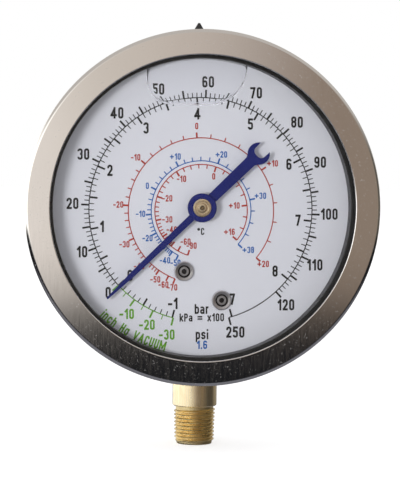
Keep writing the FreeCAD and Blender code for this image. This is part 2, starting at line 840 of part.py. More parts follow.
def make_stem_block():
    """Connection, collar, body and carrier in one piece, drilled through to the tube's root."""
    block = make_block().fuse(make_stem() + make_carrier()).removeSplitter()
    root = polar(tube_start_cw, tube_bend_radius)
    cuts = [
        Part.makeCylinder(inlet_radius, inlet_depth),
        Part.makeCylinder(restrictor_radius, inlet_depth + restrictor_length),
        Part.makeCylinder(riser_radius, axis_height + root[1] + cross_bore_radius),
        Part.makeCylinder(cross_bore_radius, cross_bore_lap - root[0], place((0, root[1]), 0), Vector(-1, 0, 0)),
        tube_outside(),
    ]
    for spot in dial_screw_places:
        cuts.append(disc(spot, dial_screw_radius, dial_back_y - past, dial_back_y + dial_screw_grip))
    for u, v in movement_screw_places:
        cuts.append(disc(from_movement(u, v), movement_screw_radius,
                         carrier_front_y - past, carrier_front_y + movement_screw_grip))
    for side in (-1, 1):
        cuts.append(radial_bar(180 + side * stem_screw_cw, stem_screw_radius,
                               case_radius - stem_screw_reach, case_radius))
    return block.cut(cuts)


def make_restrictor():
    """Small slotted screw with a fine hole that damps pulses in the inlet."""
    body = Part.makeCylinder(restrictor_radius, restrictor_length, Vector(0, 0, inlet_depth))
    fine_hole = Part.makeCylinder(restrictor_hole_radius, restrictor_length, Vector(0, 0, inlet_depth))
    reach = restrictor_radius + past
    slot = Part.makeBox(2 * reach, restrictor_slot_width, restrictor_slot_depth,
                        Vector(-reach, -restrictor_slot_width / 2, inlet_depth))
    return body.cut([fine_hole, slot])


def make_o_ring():
    """Rubber ring round the collar, pressed flat where it meets the case wall."""
    centre = Vector(0, 0, o_ring_top - o_ring_section)
    ring = Part.makeTorus(collar_radius + o_ring_section, o_ring_section, centre, Vector(0, 0, 1))
    return ring.common(wall_cylinder(case_inner_radius))


def make_stem_screws():
    """Two screws from outside the case wall into the block, one each side of the stem."""
    head_top = case_radius + stem_screw_head_height
    solids = []
    for side in (-1, 1):
        cw = 180 + side * stem_screw_cw
        shank = radial_bar(cw, stem_screw_radius, case_radius - stem_screw_reach, case_radius)
        head = radial_bar(cw, stem_screw_head_radius, case_radius, head_top)
        socket = radial_bar(cw, stem_screw_socket_radius, head_top - stem_screw_head_height / 2, head_top + past)
        solids.append(shank.fuse(head).cut(socket).removeSplitter())
    return Part.makeCompound(solids)


def make_plug():
    """Rubber filler plug: shank, flange seated on the round wall, inner lip and a cone that is cut to vent."""
    foot = case_inner_radius - plug_depth
    shank = radial_bar(0, plug_shank_radius, foot, case_radius + plug_flange_height / 2)
    flange = radial_bar(0, plug_flange_radius, case_radius - plug_saddle_depth, case_radius + plug_flange_height)
    flange = flange.cut(wall_cylinder(case_radius))
    lip = radial_bar(0, plug_lip_radius, foot + plug_lip_inset, case_inner_radius)
    lip = lip.common(wall_cylinder(case_inner_radius))
    nipple_base = case_radius + plug_crown_height
    crown = radial_bar(0, plug_crown_radius, case_radius + plug_flange_height / 2, nipple_base)
    nipple = Part.makeCone(nipple_base_radius, nipple_end_radius, nipple_length,
                           place((0, nipple_base), 0), Vector(0, 0, 1))
    hollow = radial_bar(0, plug_hollow_radius, foot - past, case_radius + plug_hollow_end)
    return shank.fuse([flange, lip, crown, nipple]).cut(hollow).removeSplitter()


def make_front_liquid():
    """Glycerine between the window and the dial, clear of the pointer's sweep and of the air bubble."""
    front = window_back_y + liquid_skin
    back = dial_front_y - liquid_skin
    bottom = gasket_opening - bubble_drop
    body = disc((0, 0), gasket_opening - liquid_skin, front, back)
    room = [
        disc((0, 0), pointer_length + 2 * sweep_gap, pointer_front_y - sweep_gap, pointer_back_y + sweep_gap),
        disc((0, 0), pointer_hub_radius + sweep_gap, hub_front_y - sweep_gap, back + past),
        plate([
            (bubble_left, bottom, bubble_corner), (bubble_right, bottom, bubble_corner),
            (bubble_right, case_radius, 0), (bubble_left, case_radius, 0),
        ], front - past, back + past),
    ]
    for spot in dial_screw_places:
        room.append(disc(spot, dial_screw_head_radius + liquid_skin,
                         dial_front_y - dial_screw_head_height - liquid_skin, back + past))
    return body.cut(room)


def make_rear_liquid():
    """Glycerine behind the tube and the block, up to its level."""
    front = block_half_depth + liquid_skin
    wall = case_inner_radius - liquid_skin
    floor_y = case_back_y - case_wall - liquid_skin
    body = turned([
        (0, front, 0), (wall, front, 0),
        (wall, floor_y, case_corner - case_wall),
        (back_step_radius, floor_y, 0),
        (back_step_radius - case_wall, floor_y - back_step_depth, 0),
        (0, floor_y - back_step_depth, 0),
    ])
    air = Part.makeBox(4 * case_radius, 4 * case_back_y, 2 * case_radius,
                       place((-2 * case_radius, liquid_level), -case_back_y))
    stem_room = Part.makeCylinder(collar_radius + 2 * o_ring_section + liquid_skin, axis_height)
    return body.cut([air, stem_room])


spring_shape = make_hairspring()

nodes = {
    "case": make_case(),
    "bezel_ring": make_bezel(),
    "window": make_window(),
    "window_gasket": make_gasket(),
    "dial_plate": make_dial(),
    "dial_screws": make_dial_screws(),
    "pointer": make_pointer(),
    "pointer_bush": make_pointer_bush(),
    "pinion_arbor": make_pinion_arbor(),
    "hairspring_collet": make_collet(),
    "hairspring": spring_shape,
    "hairspring_stud": make_stud(spring_shape),
    "front_plate": make_front_plate(),
    "back_plate": make_back_plate(),
    "pillars": make_pillars(),
    "plate_screws": make_plate_screws(),
    "movement_screws": make_movement_screws(),
    "sector_gear": make_sector(),
    "sector_arbor": make_sector_arbor(),
    "sector_link_pin": make_sector_link_pin(),
    "link": make_link(),
    "tip_link_pin": make_tip_link_pin(),
    "tube_tip": make_tube_tip(),
    "bourdon_tube": make_tube(),
    "stem_block": make_stem_block(),
    "restrictor": make_restrictor(),
    "stem_o_ring": make_o_ring(),
    "stem_screws": make_stem_screws(),
    "filler_plug": make_plug(),
    "glycerine_front": make_front_liquid(),
    "glycerine_rear": make_rear_liquid(),
}

os.makedirs("parts", exist_ok=True)
for name, shape in nodes.items():
    shape.exportStep(f"parts/{name}.step")
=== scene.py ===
"""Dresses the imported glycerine-filled pressure gauge and sets up its studio. Lengths are in metres."""

import logging
import math
from contextlib import contextmanager
from dataclasses import dataclass, field
from enum import Enum
from typing import Iterator, Sequence

import bpy
from mathutils import Euler, Matrix, Vector

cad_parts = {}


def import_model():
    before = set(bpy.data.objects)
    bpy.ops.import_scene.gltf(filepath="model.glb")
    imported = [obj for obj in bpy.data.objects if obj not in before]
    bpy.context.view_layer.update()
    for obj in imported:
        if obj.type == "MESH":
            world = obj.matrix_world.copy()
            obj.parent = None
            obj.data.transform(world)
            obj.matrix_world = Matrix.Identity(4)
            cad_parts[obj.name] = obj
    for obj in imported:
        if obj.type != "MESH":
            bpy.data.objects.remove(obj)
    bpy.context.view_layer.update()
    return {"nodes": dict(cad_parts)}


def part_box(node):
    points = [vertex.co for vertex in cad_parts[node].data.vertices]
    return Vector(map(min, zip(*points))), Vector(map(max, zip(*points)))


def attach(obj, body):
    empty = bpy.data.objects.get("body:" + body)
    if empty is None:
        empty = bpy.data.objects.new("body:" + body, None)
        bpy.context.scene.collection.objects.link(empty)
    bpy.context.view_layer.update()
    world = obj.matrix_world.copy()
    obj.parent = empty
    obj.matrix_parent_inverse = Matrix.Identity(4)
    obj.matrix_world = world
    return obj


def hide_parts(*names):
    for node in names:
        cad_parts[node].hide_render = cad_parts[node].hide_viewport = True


MM = 0.001
TINY = 1e-7
DEPTH = Vector((0.0, 1.0, 0.0))
UP = Vector((0.0, 0.0, 1.0))
NO_SHIFT = Vector((0.0, 0.0, 0.0))

Colour = tuple[float, float, float]
WHITE: Colour = (1.0, 1.0, 1.0)
log = logging.getLogger("gauge")


class Slot(Enum):
    """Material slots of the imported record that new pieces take."""

    CASE_STEEL = "case_steel"
    BEZEL_STEEL = "bezel_steel"
    DIAL_WHITE = "dial_white"
    SCREW_STEEL = "screw_steel"
    POINTER_BLUE = "pointer_blue"
    TURNED_BRASS = "turned_brass"
    STEM_BRASS = "stem_brass"
    PLUG_RUBBER = "plug_rubber"
    GLYCERINE = "glycerine"


class Body(Enum):
    """Bodies that the new pieces ride on."""

    ROOT = "root"
    POINTER_SHAFT = "pointer_shaft"


# ---------------------------------------------------------------- workshop


def pick(piece: bpy.types.Object) -> None:
    """Makes one piece the only selected and active one; after loading, the CAD nodes are selected."""
    bpy.ops.object.select_all(action="DESELECT")
    piece.select_set(True)
    bpy.context.view_layer.objects.active = piece


@contextmanager
def editing(piece: bpy.types.Object) -> Iterator[None]:
    """Edit mode on one piece alone.

    Args:
        piece: The mesh to edit.
    """
    pick(piece)
    bpy.ops.object.mode_set(mode="EDIT")
    yield
    bpy.ops.object.mode_set(mode="OBJECT")


def named(name: str) -> bpy.types.Object:
    """Names the active object and its mesh and returns it."""
    piece = bpy.context.object
    piece.name = piece.data.name = name
    return piece


def apply_modifier(piece: bpy.types.Object, kind: str, settings: dict[str, object]) -> None:
    """Adds one modifier and applies it.

    Args:
        piece: The mesh to change.
        kind: The modifier's type.
        settings: Its settings by name.
    """
    pick(piece)
    modifier = piece.modifiers.new(kind.lower(), kind)
    for key, value in settings.items():
        setattr(modifier, key, value)
    bpy.ops.object.modifier_apply(modifier=modifier.name)


def smooth(piece: bpy.types.Object, degrees: float = 32.0) -> None:
    """Shades a piece smooth across edges flatter than an angle, with its large faces kept flat."""
    pick(piece)
    bpy.ops.object.shade_smooth_by_angle(angle=math.radians(degrees))
    apply_modifier(piece, "WEIGHTED_NORMAL", {"weight": 50, "keep_sharp": True})


def bake_place(piece: bpy.types.Object) -> None:
    """Moves a piece's place, turn and scale into its mesh."""
    pick(piece)
    bpy.ops.object.transform_apply(location=True, rotation=True, scale=True)


def joined(pieces: Sequence[bpy.types.Object], name: str) -> bpy.types.Object:
    """Joins pieces into the first one.

    Args:
        pieces: The meshes to join.
        name: The joined piece's name.

    Returns:
        The joined piece.
    """
    pick(pieces[0])
    for piece in pieces[1:]:
        piece.select_set(True)
    bpy.ops.object.join()
    return named(name)


def clear_copy(node: bpy.types.Object, name: str, degrees: float = 32.0) -> bpy.types.Object:
    """Copies a CAD node as a merged mesh with smooth shading.

    Args:
        node: The CAD node's object.
        name: The copy's name.
        degrees: Edges flatter than this are shaded smooth.

    Returns:
        The copy, which rides on nothing yet.
    """
    pick(node)
    bpy.ops.object.duplicate(linked=False)
    piece = named(name)
    piece.parent = None
    for key in [key for key in piece.keys() if key.startswith("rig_")]:
        del piece[key]
    bpy.ops.mesh.customdata_custom_splitnormals_clear()
    with editing(piece):
        bpy.ops.mesh.select_all(action="SELECT")
        bpy.ops.mesh.remove_doubles(threshold=1e-6)
    smooth(piece, degrees)
    return piece


def rounded(corners: Sequence[tuple[float, float, float]], steps: int = 5) -> list[tuple[float, float]]:
    """Turns (radius, distance along, rounding) corners into outline points.

    Args:
        corners: The outline's corners in millimetres.
        steps: Points on each rounding, less one.

    Returns:
        The outline's (radius, distance along) points in metres.
    """
    points: list[tuple[float, float]] = []
    for index, (a, b, rounding) in enumerate(corners):
        corner = Vector((a, b))
        if rounding <= 0:
            points.append((a * MM, b * MM))
            continue
        back = (Vector(corners[index - 1][:2]) - corner).normalized()
        ahead = (Vector(corners[(index + 1) % len(corners)][:2]) - corner).normalized()
        half = back.angle(ahead) / 2
        centre = corner + (back + ahead).normalized() * (rounding / math.sin(half))
        first = corner + back * (rounding / math.tan(half)) - centre
        last = corner + ahead * (rounding / math.tan(half)) - centre
        for step in range(steps + 1):
            spot = centre + first.slerp(last, step / steps) * rounding
            points.append((spot.x * MM, spot.y * MM))
    return points


def draw_way(spots: Sequence[Vector]) -> None:
    """Shrinks the selected plane to a point in edit mode and draws edges from spot to spot.

    Args:
        spots: The way's points.
    """
    bpy.ops.mesh.merge(type="CENTER")
    bpy.ops.transform.translate(value=spots[0])
    for before, after in zip(spots, spots[1:]):
        bpy.ops.mesh.extrude_region_move(TRANSFORM_OT_translate={"value": after - before})


def turned(name: str, outline: Sequence[tuple[float, float]], origin: Vector, along: Vector,
           steps: int = 128) -> bpy.types.Object:
    """Turns an outline about an axis, as on a lathe.

    Args:
        name: The piece's name.
        outline: (radius, distance along) points; it is closed unless it starts on the axis.
        origin: A point of the axis where the distance along is nought.
        along: The axis.
        steps: Segments round the axis.

    Returns:
        The turned piece.
    """
    side = along.orthogonal().normalized()
    spots = [origin + side * radius + along * distance for radius, distance in outline]
    closed = outline[0][0] > 0
    bpy.ops.mesh.primitive_plane_add(size=MM)
    piece = named(name)
    with editing(piece):
        draw_way(spots + (spots[:1] if closed else []))
        bpy.ops.mesh.select_all(action="SELECT")
        bpy.ops.mesh.remove_doubles(threshold=TINY)
        bpy.ops.mesh.spin(steps=steps, angle=math.tau, center=origin, axis=along)
        bpy.ops.mesh.select_all(action="SELECT")
        bpy.ops.mesh.remove_doubles(threshold=TINY)
        bpy.ops.mesh.normals_make_consistent(inside=False)
    smooth(piece)
    return piece


# ---------------------------------------------------------------- finishes


class NodeSheet:
    """Adds and links the nodes of one material or world."""

    def __init__(self, owner: bpy.types.Material | bpy.types.World) -> None:
        """Starts an empty node tree."""
        owner.use_nodes = True
        self.tree = owner.node_tree
        self.tree.nodes.clear()

    def add(self, kind: str, inputs: dict[str, object] | None = None, **settings: object) -> bpy.types.Node:
        """Adds one node.

        Args:
            kind: The node's type after "ShaderNode".
            inputs: Values, or sockets to link, by input name.
            settings: The node's own settings.

        Returns:
            The node.
        """
        node = self.tree.nodes.new("ShaderNode" + kind)
        for key, value in settings.items():
            setattr(node, key, value)
        for key, value in (inputs or {}).items():
            socket = node.inputs[int(key)] if key.isdigit() else node.inputs[key]
            if isinstance(value, bpy.types.NodeSocket):
                self.tree.links.new(value, socket)
            elif isinstance(value, tuple) and socket.type == "RGBA":
                socket.default_value = (*value, 1.0)
            else:
                socket.default_value = value
        return node

    def place(self, scale: Colour = (1.0, 1.0, 1.0), centre: Vector | None = None) -> bpy.types.NodeSocket:
        """Object coordinates, moved and stretched.

        Args:
            scale: Stretch along each axis.
            centre: The point that becomes the origin.

        Returns:
            The coordinates' socket.
        """
        source = self.add("TexCoord").outputs["Object"]
        shift = -centre if centre else Vector((0.0, 0.0, 0.0))
        location = tuple(s * k for s, k in zip(shift, scale))
        return self.add("Mapping", {"Vector": source, "Location": location, "Scale": scale}).outputs["Vector"]

    def noise(self, vector: bpy.types.NodeSocket, scale: float, detail: float = 3.0) -> bpy.types.NodeSocket:
        """Noise from nought to one at a scale per metre."""
        return self.add("TexNoise", {"Vector": vector, "Scale": scale, "Detail": detail}).outputs["Fac"]

    def between(self, factor: bpy.types.NodeSocket, low: float, high: float,
                from_low: float = 0.3, from_high: float = 0.7) -> bpy.types.NodeSocket:
        """Maps a factor to a range; left alone, it takes what noise mostly gives."""
        return self.add("MapRange", {"Value": factor, "From Min": from_low, "From Max": from_high,
                                     "To Min": low, "To Max": high}).outputs["Result"]

    def blend(self, factor: bpy.types.NodeSocket | float, a: Colour | bpy.types.NodeSocket,
              b: Colour | bpy.types.NodeSocket) -> bpy.types.NodeSocket:
        """Mixes two colours."""
        node = self.add("Mix", data_type="RGBA")
        for socket, value in ((node.inputs[0], factor), (node.inputs[6], a), (node.inputs[7], b)):
            if isinstance(value, bpy.types.NodeSocket):
                self.tree.links.new(value, socket)
            else:
                socket.default_value = (*value, 1.0) if isinstance(value, tuple) else value
        return node.outputs[2]

    def ramp(self, share: bpy.types.NodeSocket, stops: Sequence[tuple[float, Colour]]) -> bpy.types.NodeSocket:
        """Colour along a share from nought to one.

        Args:
            share: The share.
            stops: (share, colour) of each stop; the first is at nought and the second at one.

        Returns:
            The colour's socket.
        """
        node = self.add("ValToRGB", {"Fac": share})
        elements = node.color_ramp.elements
        for index, (place, colour) in enumerate(stops):
            stop = elements[index] if index < 2 else elements.new(place)
            stop.color = (*colour, 1.0)
        return node.outputs["Color"]

    def bump(self, height: bpy.types.NodeSocket, strength: float, distance: float) -> bpy.types.NodeSocket:
        """Bump from a height."""
        return self.add("Bump", {"Height": height, "Strength": strength, "Distance": distance}).outputs["Normal"]

    def principled(self, **inputs: object) -> bpy.types.NodeSocket:
        """Principled shader with inputs named by words joined with underscores."""
        named_inputs = {key.replace("_", " "): value for key, value in inputs.items()}
        return self.add("BsdfPrincipled", named_inputs).outputs["BSDF"]

    def surface(self, shader: bpy.types.NodeSocket) -> None:
        """Ends the tree in a material's surface."""
        self.add("OutputMaterial", {"Surface": shader})


def toned(colour: Colour, share: float) -> Colour:
    """Makes a colour lighter or darker by a share."""
    return tuple(share * part for part in colour)


@dataclass(frozen=True)
class Finish:
    """Base of the finishes: a name and a material made once."""

    name: str

    def shade(self, sheet: NodeSheet) -> bpy.types.NodeSocket:
        """Builds the shader on the sheet; each finish has its own."""
        raise NotImplementedError

    def material(self) -> bpy.types.Material:
        """The finish's material, made on first use.

        Returns:
            The material.
        """
        found = bpy.data.materials.get(self.name)
        if found:
            return found
        made = bpy.data.materials.new(self.name)
        sheet = NodeSheet(made)
        sheet.surface(self.shade(sheet))
        return made


@dataclass(frozen=True)
class PolishedSteel(Finish):
    """Polished stainless sheet with hairline scratches and a little dust."""

    colour: Colour = (0.80, 0.79, 0.78)
    low: float = 0.07
    high: float = 0.13
    dust: float = 0.25
    dust_colour: Colour = (0.62, 0.60, 0.57)
    dust_scale: float = 2400.0
    dust_span: tuple[float, float] = (0.74, 0.80)
    cloud_scale: float = 60.0
    hair_scale: float = 2600.0
    hair_run: float = 0.08

    def shade(self, sheet: NodeSheet) -> bpy.types.NodeSocket:
        """Metal with scratches in its roughness and specks of dust."""
        place = sheet.place()
        cloud = sheet.noise(place, self.cloud_scale)
        hair = sheet.noise(sheet.place((1.0, 1.0, self.hair_run)), self.hair_scale, 2.0)
        rough = sheet.between(hair, self.low, self.high)
        colour = sheet.blend(cloud, self.colour, toned(self.colour, 0.93))
        metal = sheet.principled(Base_Color=colour, Metallic=1.0, Roughness=rough,
                                 Normal=sheet.bump(hair, 0.04, 0.02 * MM))
        speck = sheet.between(sheet.noise(place, self.dust_scale, 0.0), 0.0, self.dust, *self.dust_span)
        dust = sheet.principled(Base_Color=self.dust_colour, Roughness=0.8)
        return sheet.add("MixShader", {"0": speck, "1": metal, "2": dust}).outputs["Shader"]


@dataclass(frozen=True)
class ClearGlass(Finish):
    """Thin clear window: what lies behind shows, with a faint reflection."""

    tint: Colour = (0.955, 0.96, 0.961)
    gloss_roughness: float = 0.02
    growth: float = 5.0
    least_gloss: float = 0.012
    most_gloss: float = 0.6

    def shade(self, sheet: NodeSheet) -> bpy.types.NodeSocket:
        """Transparent with a gloss that grows the same way on the window's outer and inner face."""
        clear = sheet.add("BsdfTransparent", {"Color": self.tint}).outputs["BSDF"]
        gloss = sheet.add("BsdfGlossy", {"Color": WHITE, "Roughness": self.gloss_roughness}).outputs["BSDF"]
        facing = sheet.add("LayerWeight", {"Blend": 0.5}).outputs["Facing"]
        grazing = sheet.add("Math", {"0": facing, "1": self.growth}, operation="POWER").outputs[0]
        share = sheet.between(grazing, self.least_gloss, self.most_gloss, 0.0, 1.0)
        return sheet.add("MixShader", {"0": share, "1": clear, "2": gloss}).outputs["Shader"]


@dataclass(frozen=True)
class ClearLiquid(Finish):
    """Glycerine seen straight through, a trace darker than air."""

    thin: Colour = (0.985, 0.985, 0.992)
    deep: Colour = (0.97, 0.97, 0.98)
    cloud_scale: float = 45.0

    def shade(self, sheet: NodeSheet) -> bpy.types.NodeSocket:
        """Transparent with a slight uneven tint."""
        tint = sheet.blend(sheet.noise(sheet.place(), self.cloud_scale, 1.0), self.thin, self.deep)
        return sheet.add("BsdfTransparent", {"Color": tint}).outputs["BSDF"]


@dataclass(frozen=True)
class AirInLiquid(Finish):
    """Skin of the air bubble: it bends what lies behind as air in glycerine does."""

    colour: Colour = (0.985, 0.985, 0.99)
    refraction: float = 0.84

    def shade(self, sheet: NodeSheet) -> bpy.types.NodeSocket:
        """Glass of an index below one."""
        skin = {"Color": self.colour, "Roughness": 0.0, "IOR": self.refraction}
        return sheet.add("BsdfGlass", skin).outputs["BSDF"]


@dataclass(frozen=True)
class Rubber(Finish):
    """Black moulded rubber with a fine grain."""

    colour: Colour = (0.012, 0.013, 0.014)
    roughness: float = 0.42
    bloom_colour: Colour = (0.20, 0.20, 0.20)
    bloom_scale: float = 260.0
    grain_scale: float = 5200.0

    def shade(self, sheet: NodeSheet) -> bpy.types.NodeSocket:
        """Dark satin surface with grain and a grey bloom."""
        place = sheet.place()
        grain = sheet.noise(place, self.grain_scale, 2.0)
        bloom = sheet.between(sheet.noise(place, self.bloom_scale), 0.0, 0.10, 0.5, 0.8)
        colour = sheet.blend(bloom, self.colour, self.bloom_colour)
        rough = sheet.between(grain, self.roughness - 0.08, self.roughness + 0.12)
        return sheet.principled(Base_Color=colour, Roughness=rough, Normal=sheet.bump(grain, 0.25, 0.02 * MM))


@dataclass(frozen=True)
class DialEnamel(Finish):
    """Cool white enamel of the dial plate."""

    colour: Colour = (0.865, 0.86, 0.91)
    cloud_scale: float = 70.0
    peel_scale: float = 1800.0

    def shade(self, sheet: NodeSheet) -> bpy.types.NodeSocket:
        """Satin white with a faint cloud and a fine orange peel."""
        place = sheet.place()
        cloud = sheet.noise(place, self.cloud_scale)
        colour = sheet.blend(cloud, self.colour, toned(self.colour, 0.965))
        peel = sheet.noise(place, self.peel_scale, 1.0)
        return sheet.principled(Base_Color=colour, Roughness=sheet.between(peel, 0.38, 0.46),
                                Normal=sheet.bump(peel, 0.05, 0.01 * MM))


@dataclass(frozen=True)
class Ink(Finish):
    """Printing ink in one colour, a little uneven."""

    colour: Colour = (0.01, 0.01, 0.01)
    cover_scale: float = 2600.0

    def shade(self, sheet: NodeSheet) -> bpy.types.NodeSocket:
        """Satin ink whose cover varies."""
        cover = sheet.noise(sheet.place(), self.cover_scale)
        pale = tuple(part * 0.9 + 0.012 for part in self.colour)
        colour = sheet.blend(sheet.between(cover, 0.0, 1.0, 0.4, 0.75), self.colour, pale)
        return sheet.principled(Base_Color=colour, Roughness=sheet.between(cover, 0.4, 0.55))


@dataclass(frozen=True)
class Lacquer(Finish):
    """Coloured lacquer on thin sheet metal."""

    colour: Colour = (0.006, 0.012, 0.13)
    cloud_scale: float = 150.0
    wave_scale: float = 900.0

    def shade(self, sheet: NodeSheet) -> bpy.types.NodeSocket:
        """Satin lacquer with slight waves."""
        place = sheet.place()
        wave = sheet.noise(place, self.wave_scale, 2.0)
        colour = sheet.blend(sheet.noise(place, self.cloud_scale), self.colour, toned(self.colour, 1.35))
        return sheet.principled(Base_Color=colour, Roughness=sheet.between(wave, 0.4, 0.5), Specular_IOR_Level=0.2,
                                Normal=sheet.bump(wave, 0.08, 0.02 * MM))


@dataclass(frozen=True)
class TurnedMetal(Finish):
    """Metal faced on a lathe: fine rings about an axis along the depth, with painted highlight and shade on the rings.
    """

    colour: Colour = (1.0, 0.88, 0.66)
    painted_ring_shade: Colour = (0.8, 0.64, 0.42)
    centre: tuple[float, float, float] = (0.0, 0.0, 0.0)
    ring_scale: float = 450.0
    cloud_scale: float = 300.0
    roughness: float = 0.24

    def shade(self, sheet: NodeSheet) -> bpy.types.NodeSocket:
        """Metal with rings in its roughness and height; the rings in its colour are painted highlight and shade."""
        place = sheet.place((1.0, 0.0, 1.0), Vector(self.centre))
        wave = sheet.add("TexWave", {"Vector": place, "Scale": self.ring_scale}, wave_type="RINGS",
                         rings_direction="SPHERICAL").outputs["Fac"]
        cloud = sheet.noise(sheet.place(), self.cloud_scale)
        # Painted highlight and shade: the colour swings between light and dark ring by ring.
        colour = sheet.blend(wave, self.colour, self.painted_ring_shade)
        rough = sheet.between(cloud, self.roughness - 0.06, self.roughness + 0.1)
        return sheet.principled(Base_Color=colour, Metallic=1.0, Roughness=rough,
                                Normal=sheet.bump(wave, 0.12, 0.02 * MM))


@dataclass(frozen=True)
class DrawnBrass(Finish):
    """Brass bar as drawn: fine lines along its length and a slight tarnish."""

    colour: Colour = (0.98, 0.86, 0.6)
    tarnish: Colour = (0.8, 0.64, 0.38)
    line_scale: float = 3000.0
    line_run: float = 0.02
    roughness: float = 0.2
    depth: float = 0.10
    cloud_scale: float = 420.0

    def shade(self, sheet: NodeSheet) -> bpy.types.NodeSocket:
        """Metal with stretched lines and cloudy tarnish."""
        lines = sheet.noise(sheet.place((1.0, 1.0, self.line_run)), self.line_scale, 2.0)
        broad = sheet.noise(sheet.place((1.0, 1.0, self.line_run * 2)), self.line_scale * 0.4, 1.0)
        cloud = sheet.noise(sheet.place(), self.cloud_scale)
        stained = sheet.blend(sheet.between(cloud, 0.0, 0.5, 0.45, 0.8), self.colour, self.tarnish)
        colour = sheet.blend(sheet.between(lines, 0.0, 0.4, 0.5, 0.75), stained, self.tarnish)
        return sheet.principled(Base_Color=colour, Metallic=1.0,
                                Roughness=sheet.between(broad, self.roughness - 0.05, self.roughness + 0.12),
                                Normal=sheet.bump(lines, self.depth, 0.05 * MM))


@dataclass(frozen=True)
class PlainMetal(Finish):
    """Sheet or bar metal of the movement and fasteners."""

    colour: Colour = (0.6, 0.6, 0.6)
    roughness: float = 0.3
    cloud_scale: float = 420.0
    grain_scale: float = 3600.0

    def shade(self, sheet: NodeSheet) -> bpy.types.NodeSocket:
        """Metal with cloudy colour and fine grain."""
        place = sheet.place()
        grain = sheet.noise(place, self.grain_scale)
        colour = sheet.blend(sheet.noise(place, self.cloud_scale), self.colour, toned(self.colour, 0.8))
        return sheet.principled(Base_Color=colour, Metallic=1.0,
                                Roughness=sheet.between(grain, self.roughness - 0.07, self.roughness + 0.1),
                                Normal=sheet.bump(grain, 0.1, 0.02 * MM))


BEZEL_STEEL = PolishedSteel("polished_bezel_steel")
CASE_STEEL = PolishedSteel("satin_case_steel", low=0.2, high=0.3, dust=0.1)
GLASS = ClearGlass("window_clear")
LIQUID = ClearLiquid("glycerine_clear")
BUBBLE_SKIN = AirInLiquid("bubble_skin")
GASKET_RUBBER = Rubber("gasket_rubber")
PLUG_RUBBER = Rubber("plug_rubber_black", colour=(0.02, 0.02, 0.021), roughness=0.5)
ENAMEL = DialEnamel("dial_enamel")
BLACK_INK = Ink("ink_black")
RED_INK = Ink("ink_red", colour=(0.52, 0.03, 0.012))
BLUE_INK = Ink("ink_blue", colour=(0.01, 0.135, 0.5))
GREEN_INK = Ink("ink_green", colour=(0.15, 0.42, 0.018))
NAVY = Lacquer("pointer_navy")
ZINC = PlainMetal("zinc_plate", colour=(0.68, 0.67, 0.7), roughness=0.4)
# Painted shade: near-black metal put into the dial screws' groove and recess, where shadow falls.
GROOVE_PAINTED_SHADE = PlainMetal("screw_groove_painted_shade", colour=(0.06, 0.06, 0.066), roughness=0.6)
SPRING_METAL = PlainMetal("spring_bronze_strip", colour=(0.72, 0.47, 0.27))
MOVEMENT_BRASS = PlainMetal("movement_brass_sheet", colour=(0.80, 0.62, 0.32))
TUBE_METAL = PlainMetal("tube_bronze_drawn", colour=(0.70, 0.46, 0.25), roughness=0.25)
STEM_METAL = DrawnBrass("stem_brass_drawn")
THREAD_METAL = DrawnBrass("thread_brass_cut", colour=(0.98, 0.81, 0.46), tarnish=(0.82, 0.62, 0.3),
                          line_scale=900.0, line_run=1.0, roughness=0.26, depth=0.03)


def dress(piece: bpy.types.Object, finish: Finish) -> None:
    """Gives a piece one finish all over."""
    if piece.data.materials:
        for index in range(len(piece.data.materials)):
            piece.data.materials[index] = finish.material()
    else:
        piece.data.materials.append(finish.material())


def fit(piece: bpy.types.Object, finish: Finish, replaces: Sequence[str] = (),
        body: Body = Body.ROOT) -> None:
    """Dresses a new piece and fastens it to its body.

    Args:
        piece: The new piece.
        finish: Its finish.
        replaces: CAD nodes that it stands for.
        body: The body that it rides on.
    """
    dress(piece, finish)
    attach(piece, body.value)
    if replaces:
        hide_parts(*replaces)
    log.info("%s: %d faces, rides on %s", piece.name, len(piece.data.polygons), body.value)


# ---------------------------------------------------------------- housing


@dataclass
class Housing:
    """Bezel ring, case, window and gasket round the dial's axis; sizes in millimetres."""

    nodes: dict[str, bpy.types.Object]
    axis: Vector
    bezel_radius: float = 43.5
    bezel_opening: float = 37.3
    bezel_sheet: float = 0.8
    bezel_round: float = 1.0
    bezel_crown: float = 0.35
    bezel_front: float = -22.0
    hook_front: float = -14.4
    hook_back: float = -13.6
    hook_reach: float = 2.8
    window_edge: float = 41.0
    lip_round: float = 0.22
    lip_back_round: float = 0.25
    roll_round: float = 0.7
    hook_round: float = 0.2

    def build(self) -> None:
        """Builds and dresses the housing."""
        self.build_bezel()
        self.build_case()
        dress(self.nodes["window"], GLASS)
        dress(self.nodes["window_gasket"], GASKET_RUBBER)
        log.info("window and gasket dressed")

    def build_bezel(self) -> None:
        """Turns the bezel ring with its crowned face and rolled edge."""
        inside = self.bezel_radius - self.bezel_sheet
        lip_back = self.bezel_front + self.bezel_sheet
        hook_inner = self.bezel_radius - self.hook_reach
        outline = rounded([
            (self.bezel_opening, self.bezel_front, self.lip_round),
            (self.bezel_radius, self.bezel_front + self.bezel_crown, self.bezel_round),
            (self.bezel_radius, self.hook_back, self.roll_round),
            (hook_inner, self.hook_back, self.hook_round),
            (hook_inner, self.hook_front, 0.0),
            (inside, self.hook_front, 0.0),
            (inside, lip_back + self.bezel_crown, self.bezel_round - self.bezel_sheet),
            (self.window_edge, lip_back, 0.0),
            (self.bezel_opening, lip_back, self.lip_back_round),
        ], 8)
        ring = turned("bezel", outline, self.axis, DEPTH, 256)
        fit(ring, BEZEL_STEEL, ["bezel_ring"])

    def build_case(self) -> None:
        """Smooths the drawn cup and its screws."""
        cup = clear_copy(self.nodes["case"], "case_cup")
        fit(cup, CASE_STEEL, ["case"])
        screws = clear_copy(self.nodes["stem_screws"], "case_screws")
        fit(screws, ZINC, ["stem_screws"])


# ---------------------------------------------------------------- dial


